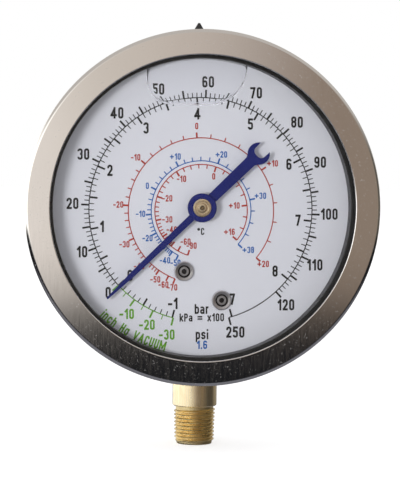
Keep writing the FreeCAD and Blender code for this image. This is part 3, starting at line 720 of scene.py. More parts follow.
PEN = 0.19
WIDE = 0.33
BOW = 0.16
SMALL = 0.7


class Ends(Enum):
    """How a pen stroke ends."""

    JOINED = "joined"
    PLAIN = "plain"
    SQUARE = "square"


Stroke = tuple[Ends, Sequence[tuple[float, float, float]]]


def ring_stroke(low: float, high: float, wide: float = WIDE, bow: float = BOW) -> Stroke:
    """Closed stroke of a round-cornered bowl."""
    return Ends.JOINED, [(0.0, low, bow), (wide, low, bow), (wide, high, bow), (0.0, high, bow)]


def line_stroke(*corners: tuple[float, float, float]) -> Stroke:
    """Open stroke that ends where its last corner is."""
    return Ends.PLAIN, corners


def straight(*corners: tuple[float, float]) -> Stroke:
    """Open stroke with sharp corners, half a pen longer at both ends."""
    return Ends.SQUARE, [(x, y, 0.0) for x, y in corners]


STEM = straight((0.0, 0.0), (0.0, 1.0))
SHORT_STEM = straight((0.0, 0.0), (0.0, SMALL))
FOOT = -PEN / 2 / (1.0 - PEN)
ARCH = line_stroke((0.0, 0.45, 0.0), (0.0, SMALL, BOW), (WIDE, SMALL, BOW), (WIDE, FOOT, 0.0))
LETTERS: dict[str, Sequence[Stroke]] = {
    "0": [ring_stroke(0.0, 1.0)],
    "1": [straight((0.02, 0.78), (0.2, 1.0), (0.2, 0.0))],
    "2": [line_stroke((0.0, 0.72, 0.0), (0.0, 1.0, BOW), (WIDE, 1.0, BOW), (WIDE, 0.6, 0.1), (0.0, 0.0, 0.0)),
          straight((0.0, 0.0), (WIDE, 0.0))],
    "3": [line_stroke((0.0, 0.8, 0.0), (0.0, 1.0, BOW), (WIDE, 1.0, BOW), (WIDE, 0.53, 0.12), (0.16, 0.53, 0.0)),
          line_stroke((0.16, 0.53, 0.0), (WIDE, 0.53, 0.12), (WIDE, 0.0, BOW), (0.0, 0.0, BOW), (0.0, 0.2, 0.0))],
    "4": [straight((0.27, 0.0), (0.27, 1.0), (-0.03, 0.25), (0.4, 0.25))],
    "5": [straight((0.03, 1.0), (WIDE, 1.0)),
          line_stroke((0.03, 1.0, 0.0), (0.0, 0.56, 0.02), (0.05, 0.6, 0.02),
                      (WIDE, 0.6, BOW * 0.9), (WIDE, 0.0, BOW), (0.0, 0.0, BOW), (0.0, 0.2, 0.0))],
    "6": [ring_stroke(0.0, 0.55), line_stroke((0.0, 0.3, 0.0), (0.0, 1.0, BOW), (WIDE, 1.0, BOW), (WIDE, 0.81, 0.0))],
    "7": [straight((-0.01, 1.0), (WIDE, 1.0), (0.12, 0.0))],
    "8": [ring_stroke(0.0, 0.54), ring_stroke(0.54, 1.0)],
    "9": [ring_stroke(0.45, 1.0), line_stroke((WIDE, 0.7, 0.0), (WIDE, 0.0, BOW), (0.0, 0.0, BOW), (0.0, 0.19, 0.0))],
    "-": [straight((0.04, 0.42), (0.28, 0.42))],
    "+": [straight((0.0, 0.46), (0.5, 0.46)), straight((0.25, 0.18), (0.25, 0.74))],
    "=": [straight((0.0, 0.25), (0.5, 0.25)), straight((0.0, 0.6), (0.5, 0.6))],
    ".": [straight((0.0, 0.0), (0.0, 0.01))],
    "\u00b0": [ring_stroke(0.74, 1.0, 0.24, 0.11)],
    "a": [ring_stroke(0.0, 0.37, bow=0.14), line_stroke((0.02, 0.6, 0.0), (0.02, SMALL, 0.09), (WIDE, SMALL, BOW),
                                                        (WIDE, FOOT, 0.0))],
    "b": [STEM, ring_stroke(0.0, SMALL)],
    "c": [line_stroke((WIDE, 0.5, 0.0), (WIDE, SMALL, BOW), (0.0, SMALL, BOW), (0.0, 0.0, BOW), (WIDE, 0.0, BOW),
                      (WIDE, 0.2, 0.0))],
    "g": [ring_stroke(0.0, SMALL), line_stroke((WIDE, SMALL - FOOT, 0.0), (WIDE, -0.45, BOW), (0.0, -0.45, 0.0))],
    "h": [STEM, ARCH],
    "i": [straight((0.0, 0.0), (0.0, 0.62)), straight((0.0, 1.02), (0.0, 1.03))],
    "k": [STEM, straight((WIDE, SMALL), (0.04, 0.28)), straight((0.12, 0.38), (WIDE, 0.0))],
    "n": [SHORT_STEM, ARCH],
    "p": [straight((0.0, -0.36), (0.0, SMALL)), ring_stroke(0.0, SMALL)],
    "r": [SHORT_STEM, line_stroke((0.0, 0.45, 0.0), (0.0, SMALL, BOW), (0.24, SMALL, 0.0))],
    "s": [line_stroke((WIDE, 0.54, 0.0), (WIDE, SMALL, 0.13), (0.0, SMALL, BOW), (0.0, 0.36, BOW), (WIDE, 0.36, BOW),
                      (WIDE, 0.0, BOW), (0.0, 0.0, 0.13), (0.0, 0.17, 0.0))],
    "x": [straight((0.0, 0.0), (WIDE, SMALL)), straight((WIDE, 0.0), (0.0, SMALL))],
    "A": [straight((-0.02, 0.0), (0.2, 1.0), (0.42, 0.0)), straight((0.08, 0.27), (0.32, 0.27))],
    "C": [line_stroke((WIDE, 0.72, 0.0), (WIDE, 1.0, BOW), (0.0, 1.0, BOW), (0.0, 0.0, BOW), (WIDE, 0.0, BOW),
                      (WIDE, 0.28, 0.0))],
    "H": [STEM, straight((WIDE, 0.0), (WIDE, 1.0)), straight((0.0, 0.52), (WIDE, 0.52))],
    "M": [straight((0.0, 0.0), (0.0, 1.0), (0.31, 0.2), (0.62, 1.0), (0.62, 0.0))],
    "P": [STEM, line_stroke((-PEN / 2, 1.0, 0.0), (WIDE, 1.0, BOW), (WIDE, 0.47, BOW), (0.0, 0.47, 0.0))],
    "U": [line_stroke((0.0, 1.0 - FOOT, 0.0), (0.0, 0.0, BOW), (WIDE, 0.0, BOW), (WIDE, 1.0 - FOOT, 0.0))],
    "V": [straight((-0.02, 1.0), (0.2, 0.0), (0.42, 1.0))],
}


def pen_ways(stroke: Stroke) -> list[list[Vector]]:
    """Ways of the pen's middle through one stroke of a letter a millimetre high.

    Args:
        stroke: The stroke; the sides of one with square ends are drawn one by one.

    Returns:
        The points of each way on the ground.
    """
    ends, corners = stroke
    spots = [Vector((x, PEN / 2 * MM + y * (1.0 - PEN), 0.0)) for x, y in rounded(corners)]
    if ends is Ends.JOINED:
        return [spots + spots[:1]]
    if ends is Ends.PLAIN:
        return [spots]
    ways = []
    for start, end in zip(spots, spots[1:]):
        over = (end - start).normalized() * (PEN / 2 * MM)
        ways.append([start - over, end + over])
    return ways


@dataclass
class Lettering:
    """Upright condensed figures and letters, each drawn once by a round pen and copied from then on."""

    gap: float = 0.13
    blank: float = 0.26
    made: dict[str, bpy.types.Object] = field(default_factory=dict)

    def width(self, letter: str) -> float:
        """Width of one letter between its outer strokes, in heights."""
        if letter == " ":
            return self.blank
        return max(x for _, corners in LETTERS[letter] for x, _, _ in corners)

    def pattern(self, letter: str) -> bpy.types.Object:
        """One letter a millimetre high, drawn on first use.

        Args:
            letter: The letter.

        Returns:
            The pattern to copy, flat on the ground with its foot on the origin.
        """
        if letter in self.made:
            return self.made[letter]
        bpy.ops.mesh.primitive_plane_add(size=MM)
        shape = named(f"letter_{len(self.made)}")
        with editing(shape):
            bpy.ops.mesh.delete(type="VERT")
            for spots in [way for stroke in LETTERS[letter] for way in pen_ways(stroke)]:
                bpy.ops.mesh.primitive_plane_add(size=MM)
                draw_way(spots)
            bpy.ops.mesh.select_all(action="SELECT")
            bpy.ops.mesh.remove_doubles(threshold=TINY)
        bpy.ops.object.convert(target="CURVE")
        shape.data.bevel_depth = PEN / 2 * MM
        shape.data.bevel_resolution = 1
        shape.data.use_fill_caps = True
        bpy.ops.object.convert(target="MESH")
        self.made[letter] = shape
        return shape

    def set_line(self, text: str, height: float, narrow: float, thickness: float) -> list[bpy.types.Object]:
        """Sets one line, centred on the origin, on the ground.

        Args:
            text: What it says.
            height: Height of its capitals in millimetres.
            narrow: Width against the patterns'.
            thickness: Thickness of the ink in millimetres.

        Returns:
            The letters.
        """
        full = sum(self.width(letter) for letter in text) + (len(text) - 1) * (self.gap + PEN)
        at = -full / 2
        letters = []
        for letter in text:
            if letter != " ":
                pick(self.pattern(letter))
                bpy.ops.object.duplicate(linked=False)
                copy = bpy.context.object
                copy.location = (at * height * narrow * MM, -height / 2 * MM, 0.0)
                copy.scale = (height * narrow, height, thickness / PEN)
                letters.append(copy)
            at += self.width(letter) + self.gap + PEN
        return letters

    def put_away(self) -> None:
        """Removes the patterns."""
        for shape in self.made.values():
            bpy.data.objects.remove(shape)
        self.made.clear()


@dataclass
class Print:
    """Marks and letters of one ink on the dial's face; sizes in millimetres."""

    name: str
    ink: Ink
    origin: Vector
    marks_origin: Vector
    seat: Matrix
    lettering: Lettering
    thickness: float = 0.02
    fewest_steps: int = 8
    degrees_per_step: float = 2.0
    flats: list[bpy.types.Object] = field(default_factory=list)
    letters: list[bpy.types.Object] = field(default_factory=list)

    def spot(self, cw: float, radius: float) -> Vector:
        """Point at a clockwise angle and distance from the centre of the marks."""
        turn = math.radians(cw)
        return self.marks_origin + Vector((math.sin(turn), 0.0, math.cos(turn))) * radius * MM

    def ticks(self, marks: Sequence[tuple[float, float, float, float]]) -> None:
        """Draws radial strokes.

        Args:
            marks: (clockwise angle, inner radius, outer radius, width) of each stroke.
        """
        for cw, inner, outer, width in marks:
            bpy.ops.mesh.primitive_plane_add(size=MM, location=self.spot(cw, (inner + outer) / 2),
                                             rotation=(math.pi / 2, math.radians(cw), 0.0))
            stroke = named(self.name + "_stroke")
            stroke.scale = (width, outer - inner, 1.0)
            self.flats.append(stroke)

    def arc(self, radius: float, width: float, from_cw: float, to_cw: float) -> None:
        """Sweeps a fine arc.

        Args:
            radius: The arc's middle radius.
            width: The line's width.
            from_cw: Clockwise angle where it starts.
            to_cw: Clockwise angle where it ends.
        """
        steps = max(self.fewest_steps, round(abs(to_cw - from_cw) / self.degrees_per_step))
        bpy.ops.mesh.primitive_plane_add(size=MM)
        line = named(self.name + "_arc")
        with editing(line):
            draw_way([self.spot(from_cw, radius - width / 2), self.spot(from_cw, radius + width / 2)])
            bpy.ops.mesh.select_all(action="SELECT")
            bpy.ops.mesh.spin(steps=steps, angle=math.radians(from_cw - to_cw), center=self.marks_origin,
                              axis=DEPTH)
        self.flats.append(line)

    def words(self, text: str, height: float, across: float, up: float, narrow: float = 1.0,
              turn: float = 0.0) -> None:
        """Sets one group of figures or letters.

        Args:
            text: What it says.
            height: Height of its capitals.
            across: Its middle, sideways from the print's centre.
            up: Its middle, upwards from the print's centre.
            narrow: Width against the lettering's own.
            turn: Clockwise turn in degrees.
        """
        place = Matrix.Translation(self.origin + Vector((across, 0.0, up)) * MM)
        tilt = Euler((math.pi / 2, math.radians(turn), 0.0)).to_matrix().to_4x4()
        for letter in self.lettering.set_line(text, height, narrow, self.thickness):
            letter.matrix_world = place @ tilt @ letter.matrix_basis
            self.letters.append(letter)

    def curved_words(self, text: str, height: float, narrow: float, radius: float, from_cw: float) -> None:
        """Sets words upright along the dial's lower rim.

        Args:
            text: What they say.
            height: Height of their capitals.
            narrow: Width against the lettering's own.
            radius: Radius of their middle line.
            from_cw: Clockwise angle of the first letter's left side.
        """
        at = 0.0
        for letter in text:
            half = self.lettering.width(letter) / 2
            cw = from_cw - math.degrees((at + half) * height * narrow / radius)
            if letter != " ":
                turn = math.radians(cw)
                self.words(letter, height, radius * math.sin(turn), radius * math.cos(turn), narrow, cw - 180.0)
            at += 2.0 * half + self.lettering.gap + PEN

    def finish(self) -> None:
        """Gives the marks the ink's thickness, joins all and fixes it to the dial."""
        pieces = list(self.letters)
        if self.flats:
            sheet = joined(self.flats, self.name + "_marks")
            apply_modifier(sheet, "SOLIDIFY", {"thickness": self.thickness * MM, "offset": 0.0})
            pieces.insert(0, sheet)
        sheet = joined(pieces, self.name)
        bake_place(sheet)
        sheet.matrix_world = self.seat
        bake_place(sheet)
        fit(sheet, self.ink)


@dataclass
class Press:
    """What all prints on the dial share: their centre, their turn on the plate and their letters."""

    centre: Vector
    seat: Matrix
    lettering: Lettering = field(default_factory=Lettering)

    def sheet(self, name: str, ink: Ink, words: Vector = NO_SHIFT, marks: Vector = NO_SHIFT) -> Print:
        """Starts one print whose words and marks are moved from the common centre by millimetres."""
        return Print(name, ink, self.centre + words * MM, self.centre + marks * MM, self.seat, self.lettering)


PSI_PER_BAR = 14.5038
BAR_PER_INCH_OF_MERCURY = 0.033864
ATMOSPHERE = 1.013


@dataclass
class PressureScale:
    """Main scale: pounds outside the arc, bars inside it, vacuum below nought; sizes in millimetres."""

    press: Press
    shift: Vector = field(default_factory=lambda: Vector((0.16, 0.0, -0.10)))
    radius: float = 27.63
    zero_cw: float = 227.6
    degrees_per_psi: float = 2.25
    last_psi: int = 120
    first_tenth_bar: int = -10
    last_tenth_bar: int = 80
    end_cw: float = 525.5
    end_bar_lag: float = 1.6
    line: float = 0.25
    fine: float = 0.23
    bold: float = 0.46
    short: float = 1.22
    long: float = 1.95
    figure: float = 2.8
    figure_narrow: float = 0.89
    vacuum_figure: float = 2.55
    vacuum_narrow: float = 0.88
    vacuum_end: int = 30

    def bar_cw(self, bar: float) -> float:
        """Angle of a pressure in bar on the even part of the scale."""
        return self.zero_cw + self.degrees_per_psi * PSI_PER_BAR * bar

    def build(self) -> None:
        """Prints the black and the green part."""
        self.print_black()
        self.print_green()

    def print_black(self) -> None:
        """Prints the arc, the strokes and the figures for pounds and bars."""
        sheet = self.press.sheet("scale_print", BLACK_INK, marks=self.shift)
        marks = []
        for psi in range(1, self.last_psi + 1):
            even = psi % 5 == 0
            reach = self.long if even else self.short
            cw = self.zero_cw + self.degrees_per_psi * psi
            marks.append((cw, self.radius, self.radius + reach, self.bold if even else self.fine))
        for tenth in range(self.first_tenth_bar, self.last_tenth_bar + 1):
            half = tenth % 5 == 0
            reach = self.long if half else self.short
            marks.append((self.bar_cw(tenth / 10), self.radius - reach, self.radius, self.bold if half else self.fine))
        marks.append((self.end_cw, self.radius, self.radius + self.long, self.bold))
        marks.append((self.end_cw - self.end_bar_lag, self.radius - self.long, self.radius, self.bold))
        sheet.ticks(marks)
        sheet.arc(self.radius, self.line, self.zero_cw, self.end_cw)
        for text, across, up in PSI_FIGURES + BAR_FIGURES + END_FIGURES:
            sheet.words(text, self.figure, across, up, self.figure_narrow)
        for text, height, narrow, across, up in UNIT_WORDS:
            sheet.words(text, height, across, up, narrow)
        sheet.finish()

    def print_green(self) -> None:
        """Prints the vacuum part in green: inches of mercury outside the arc."""
        sheet = self.press.sheet("vacuum_print", GREEN_INK, marks=self.shift)
        sheet.arc(self.radius, self.line, self.bar_cw(-self.vacuum_end * BAR_PER_INCH_OF_MERCURY), self.zero_cw)
        marks = []
        for step in range(0, self.vacuum_end + 1, 5):
            ten = step % 10 == 0
            reach = self.long if ten else self.short
            marks.append((self.bar_cw(-step * BAR_PER_INCH_OF_MERCURY), self.radius, self.radius + reach,
                          self.bold if ten else self.fine))
        sheet.ticks(marks)
        for text, across, up in VACUUM_FIGURES:
            sheet.words(text, self.vacuum_figure, across, up, self.vacuum_narrow)
        sheet.curved_words(*VACUUM_WORDS)
        sheet.finish()


PSI_FIGURES = [
    ("0", -22.8, -20.5), ("10", -29.2, -10.4), ("20", -31.5, 1.5), ("30", -28.8, 13.6), ("40", -20.5, 23.7),
    ("50", -10.3, 29.6), ("60", 2.0, 31.4), ("70", 13.8, 28.7), ("80", 24.0, 21.5), ("90", 29.8, 11.6),
    ("100", 32.1, -1.3), ("110", 28.5, -13.9), ("120", 21.3, -23.8),
]
BAR_FIGURES = [
    ("0", -17.4, -16.3), ("1", -24.3, -4.2), ("2", -22.3, 9.6), ("3", -13.4, 20.0), ("4", -0.7, 23.5),
    ("5", 12.4, 21.0), ("6", 22.0, 11.1), ("7", 24.3, -2.8), ("8", 18.6, -15.4), ("-1", -6.9, -23.3),
]
END_FIGURES = [("250", 8.7, -30.5), ("17", 7.3, -22.3)]
UNIT_WORDS = [("bar", 2.45, 0.86, 0.4, -24.7), ("kPa = x100", 2.0, 0.88, 0.35, -26.8), ("psi", 2.45, 0.86, 0.4, -31.0)]
VACUUM_FIGURES = [("-10", -18.3, -25.8), ("-20", -13.3, -28.5), ("-30", -8.4, -31.0)]
VACUUM_WORDS = ("inch Hg VACUUM", 2.35, 0.85, 35.0, 223.2)
TEMPERATURE_SHIFT = Vector((0.2, 0.0, -0.4))


@dataclass(frozen=True)
class Vapour:
    """Saturation pressure of one fluid: log of bar is rise - fall / (degrees + shift)."""

    rise: float
    fall: float
    shift: float

    def bar(self, degrees: float) -> float:
        """Gauge pressure in bar at a temperature in degrees Celsius."""
        return math.exp(self.rise - self.fall / (degrees + self.shift)) - ATMOSPHERE


@dataclass
class TemperatureScale:
    """One saturation temperature scale on its own arc; sizes in millimetres."""

    name: str
    ink: Ink
    vapour: Vapour
    radius: float
    outwards: bool
    far_marks: Sequence[int]
    coldest: int
    warmest: int
    figures: Sequence[tuple[str, float, float]]
    line: float = 0.25
    short: float = 1.0
    long: float = 1.35
    fine: float = 0.27
    bold: float = 0.42
    figure: float = 1.6
    figure_narrow: float = 0.9

    def build(self, press: Press, main: PressureScale) -> None:
        """Prints the arc, its strokes and its figures.

        Args:
            press: The dial's press.
            main: The pressure scale, which gives each pressure its angle.
        """
        sheet = press.sheet(self.name, self.ink, TEMPERATURE_SHIFT, TEMPERATURE_SHIFT)
        marks = []
        for degrees in [*self.far_marks, *range(self.coldest, self.warmest + 1, 2)]:
            ten = degrees % 10 == 0 or degrees == self.warmest
            reach = self.long if ten else self.short
            inner, outer = (self.radius, self.radius + reach) if self.outwards else (self.radius - reach, self.radius)
            marks.append((main.bar_cw(self.vapour.bar(degrees)), inner, outer, self.bold if ten else self.fine))
        sheet.ticks(marks)
        sheet.arc(self.radius, self.line, marks[0][0], marks[-1][0])
        for text, across, up in self.figures:
            sheet.words(text, self.figure, across, up, self.figure_narrow)
        sheet.finish()


@dataclass
class DialFace:
    """Dial plate with its prints and its two screws; sizes in millimetres."""

    nodes: dict[str, bpy.types.Object]
    axis: Vector
    face: float
    print_drop: float = 0.4
    print_shift: float = -0.25
    print_turn: float = -0.72
    ink_lift: float = 0.025
    screw_radius: float = 2.45
    shade_paint_depth: float = 0.45
    shade_paint_radius: float = 1.56

    def build(self) -> None:
        """Dresses the plate and builds prints and screws."""
        dress(self.nodes["dial_plate"], ENAMEL)
        centre = self.axis + Vector((self.print_shift, self.face - self.ink_lift, -self.print_drop)) * MM
        turn = Matrix.Rotation(math.radians(self.print_turn), 4, "Y")
        press = Press(centre, Matrix.Translation(self.axis) @ turn @ Matrix.Translation(-self.axis))
        main = PressureScale(press)
        main.build()
        for scale in TEMPERATURE_SCALES:
            scale.build(press, main)
        self.print_small_words(press)
        press.lettering.put_away()
        self.build_screws()

    def print_small_words(self, press: Press) -> None:
        """Prints the temperature unit and the accuracy figure."""
        for name, ink, text, height, narrow, across, up in SMALL_WORDS:
            sheet = press.sheet(name, ink)
            sheet.words(text, height, across, up, narrow)
            sheet.finish()

    def build_screws(self) -> None:
        """Turns both dial screws: a dished flange, a groove, a raised ring and a deep recess; groove and recess take a
        painted shade.
        """
        outline = rounded(DIAL_SCREW_PROFILE, 3)
        low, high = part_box("dial_screws")
        inset = self.screw_radius * MM
        places = ((low.x + inset, high.z - inset), (high.x - inset, low.z + inset))
        screws = []
        for index, (x, z) in enumerate(places):
            seat = Vector((x, self.face * MM, z))
            screws.append(turned(f"dial_screw_{index}", outline, seat, DEPTH, 64))
        heads = joined(screws, "dial_rivets")
        fit(heads, ZINC, ["dial_screws"])
        heads.data.materials.append(GROOVE_PAINTED_SHADE.material())
        shallow = (self.face - self.shade_paint_depth) * MM
        # Painted shade: the deep faces near each screw's middle, in its groove and recess, take the near-black
        # material.
        for part in heads.data.polygons:
            if part.center.y > shallow and min(math.hypot(part.center.x - x, part.center.z - z)
                                               for x, z in places) < self.shade_paint_radius * MM:
                part.material_index = 1


SMALL_WORDS = [
    ("unit_print", BLACK_INK, "\u00b0C", 1.75, 0.92, 0.1, -5.5),
    ("accuracy_print", BLUE_INK, "1.6", 2.1, 0.9, 0.4, -33.6),
]
DIAL_SCREW_PROFILE = [
    (0.0, -0.3, 0.0), (0.25, -0.3, 0.0), (0.3, -0.05, 0.0), (0.6, -0.05, 0.0), (0.66, -1.1, 0.1),
    (1.1, -1.1, 0.12), (1.16, -0.2, 0.0), (1.5, -0.2, 0.0), (1.56, -0.62, 0.1), (2.25, -0.8, 0.12),
    (2.45, -0.45, 0.1), (2.45, 0.0, 0.0), (1.2, 0.0, 0.0), (1.2, 3.6, 0.0), (0.0, 3.6, 0.0),
]
TEMPERATURE_SCALES = [
    TemperatureScale(
        "outer_temperature_print", RED_INK, Vapour(9.578, 1953.9, 245.0), 18.0, True, (-70, -60), -50, 20,
        [("0", -1.1, 20.9), ("-10", -16.2, 13.2), ("-20", -20.5, 1.6), ("-30", -19.0, -8.2), ("-40", -15.4, -13.6),
         ("-50", -11.4, -16.9), ("-60", -9.4, -18.2), ("-70", -7.2, -18.9), ("+10", 17.7, 11.7),
         ("+20", 15.4, -13.2)]),
    TemperatureScale(
        "middle_temperature_print", BLUE_INK, Vapour(9.24, 1999.9, 246.5), 12.35, True, (-50,), -40, 38,
        [("0", -13.3, 6.2), ("-10", -15.0, -0.7), ("-20", -13.3, -6.7), ("-40", -9.0, -12.2), ("-50", -6.4, -12.8),
         ("+10", -6.4, 13.4), ("+20", 5.0, 13.9), ("+30", 14.7, 3.7), ("+38", 11.7, -9.7)]),
    TemperatureScale(
        "inner_temperature_print", RED_INK, Vapour(9.55, 1958.6, 250.5), 11.45, False, (-90, -60), -50, 16,
        [("-10", -4.9, 7.9), ("-20", -8.4, 3.1), ("-30", -8.4, -2.1), ("-40", -7.3, -4.6), ("-60", -3.9, -7.6),
         ("-90", -2.4, -8.6), ("0", 3.1, 8.5), ("+10", 8.2, 1.3), ("+16", 7.0, -5.2)]),
]


# ---------------------------------------------------------------- pointer


@dataclass
class Pointer:
    """Pointer with its bush, on the pinion's axis; sizes in millimetres."""

    nodes: dict[str, bpy.types.Object]
    axis: Vector
    bush_radius: float = 2.3
    bush_front: float = -17.1
    bush_back: float = -15.2
    bush_shoulder: float = -16.0
    bush_foot_radius: float = 1.7
    bush_bore: float = 0.62
    groove_depth: float = 0.12
    blade_edge: float = 0.06

    def build(self) -> None:
        """Softens the pointer's edges and turns the bush."""
        blade = clear_copy(self.nodes["pointer"], "pointer_blade", 25.0)
        apply_modifier(blade, "BEVEL", {"width": self.blade_edge * MM, "segments": 2, "limit_method": "ANGLE",
                                        "angle_limit": math.radians(50.0)})
        smooth(blade, 40.0)
        fit(blade, NAVY, ["pointer"], Body.POINTER_SHAFT)
        groove = self.bush_front + self.groove_depth
        outline = rounded([
            (self.bush_bore, self.bush_front - 0.02, 0.0), (1.2, self.bush_front, 0.05), (1.3, groove, 0.0),
            (1.5, groove, 0.0), (1.62, self.bush_front, 0.05), (2.2, self.bush_front + 0.03, 0.05),
            (self.bush_radius, self.bush_front + 0.1, 0.0), (self.bush_radius, self.bush_shoulder, 0.0),
            (self.bush_foot_radius, self.bush_shoulder, 0.0), (self.bush_foot_radius, self.bush_back, 0.0),
            (self.bush_bore, self.bush_back, 0.0),
        ], 3)
        bush = turned("brass_bush", outline, self.axis, DEPTH, 96)
        brass = TurnedMetal("bush_brass_faced", centre=tuple(self.axis))
        fit(bush, brass, ["pointer_bush"], Body.POINTER_SHAFT)
        # The arbor's end gets near-black rings in its colour: painted shade at the bush's centre.
        dress(self.nodes["pinion_arbor"], TurnedMetal("arbor_faced", (0.62, 0.50, 0.32), (0.16, 0.11, 0.06),
                                                      tuple(self.axis)))


# ---------------------------------------------------------------- connection


@dataclass
class Connection:
    """Stem with its collar and its taper thread; sizes in millimetres."""

    nodes: dict[str, bpy.types.Object]
    thread_length: float = 9.7
    end_radius: float = 4.99
    top_radius: float = 5.293
    pitch: float = 0.9407
    depth: float = 0.46
    first_turn: float = 0.25
    turns: int = 9
    run_in: tuple[float, ...] = (0.95, 0.75, 0.55, 0.35, 0.18)
    run_in_share: float = 0.974
    start: float = 0.02
    bore: float = 2.0
    end_chamfer: tuple[float, float] = (0.1, 0.35)
    ridge_foot: float = 0.2
    root_land: float = 0.06
    crest_land: float = 0.07
    crest_break: tuple[float, float] = (0.05, 0.11)

    def build(self) -> None:
        """Keeps the CAD stem above the thread and cuts real turns below it."""
        stem = clear_copy(self.nodes["stem_block"], "stem")
        with editing(stem):
            bpy.ops.mesh.select_all(action="SELECT")
            bpy.ops.mesh.bisect(plane_co=(0.0, 0.0, self.thread_length * MM), plane_no=(0.0, 0.0, 1.0),
                                clear_inner=True, use_fill=True)
        smooth(stem)
        fit(stem, STEM_METAL, ["stem_block"])
        fit(self.cut_thread(), THREAD_METAL, ["stem_block"])

    def cut_thread(self) -> bpy.types.Object:
        """Builds the taper core with its bore and winds the ridge on it.

        Returns:
            The threaded end.
        """
        root, crest = self.end_radius - self.depth, self.end_radius
        chamfer, chamfer_top = self.end_chamfer
        core = turned("thread_core", rounded([
            (self.bore, 0.0, 0.0), (root - chamfer, 0.0, chamfer), (root, chamfer_top, 0.0),
            (root, self.thread_length, 0.0), (self.bore, self.thread_length, 0.0)], 3), NO_SHIFT, UP, 96)
        bpy.ops.mesh.primitive_plane_add(size=MM)
        ridge = named("thread_ridge")
        low, half = root - self.ridge_foot, self.pitch / 2
        drop, side = self.crest_break
        rise = [(low, 0.0), (root, self.root_land), (crest - drop, half - side), (crest, half - self.crest_land),
                (crest, half + self.crest_land), (crest - drop, half + side), (root, self.pitch - self.root_land),
                (low, self.pitch)]
        spots = [Vector((radius * MM, 0.0, (self.first_turn + height - half) * MM)) for radius, height in rise]
        with editing(ridge):
            draw_way(spots)
        apply_modifier(ridge, "SCREW", {"axis": "Z", "angle": math.tau, "screw_offset": self.pitch * MM,
                                        "iterations": self.turns, "steps": 72, "render_steps": 72,
                                        "use_merge_vertices": True, "merge_threshold": TINY * 10})
        for z, keep in ((self.start, {"clear_inner": True}), (self.thread_length, {"clear_outer": True})):
            with editing(ridge):
                bpy.ops.mesh.select_all(action="SELECT")
                bpy.ops.mesh.bisect(plane_co=(0.0, 0.0, z * MM), plane_no=(0.0, 0.0, 1.0), **keep)
        for z in self.run_in:
            with editing(ridge):
                bpy.ops.mesh.select_mode(type="VERT")
                bpy.ops.mesh.select_all(action="DESELECT")
            for vertex in ridge.data.vertices:
                vertex.select = vertex.co.z < z * MM
            with editing(ridge):
                bpy.ops.transform.resize(value=(self.run_in_share, self.run_in_share, 1.0), center_override=NO_SHIFT)
        with editing(ridge):
            bpy.ops.mesh.select_all(action="SELECT")
            bpy.ops.mesh.normals_make_consistent(inside=False)
        thread = joined([core, ridge], "taper_thread")
        apply_modifier(thread, "SIMPLE_DEFORM", {"deform_method": "TAPER", "deform_axis": "Z",
                                                 "factor": self.top_radius / self.end_radius - 1.0})
        smooth(thread, 24.0)
        return thread


# ---------------------------------------------------------------- filling and plug


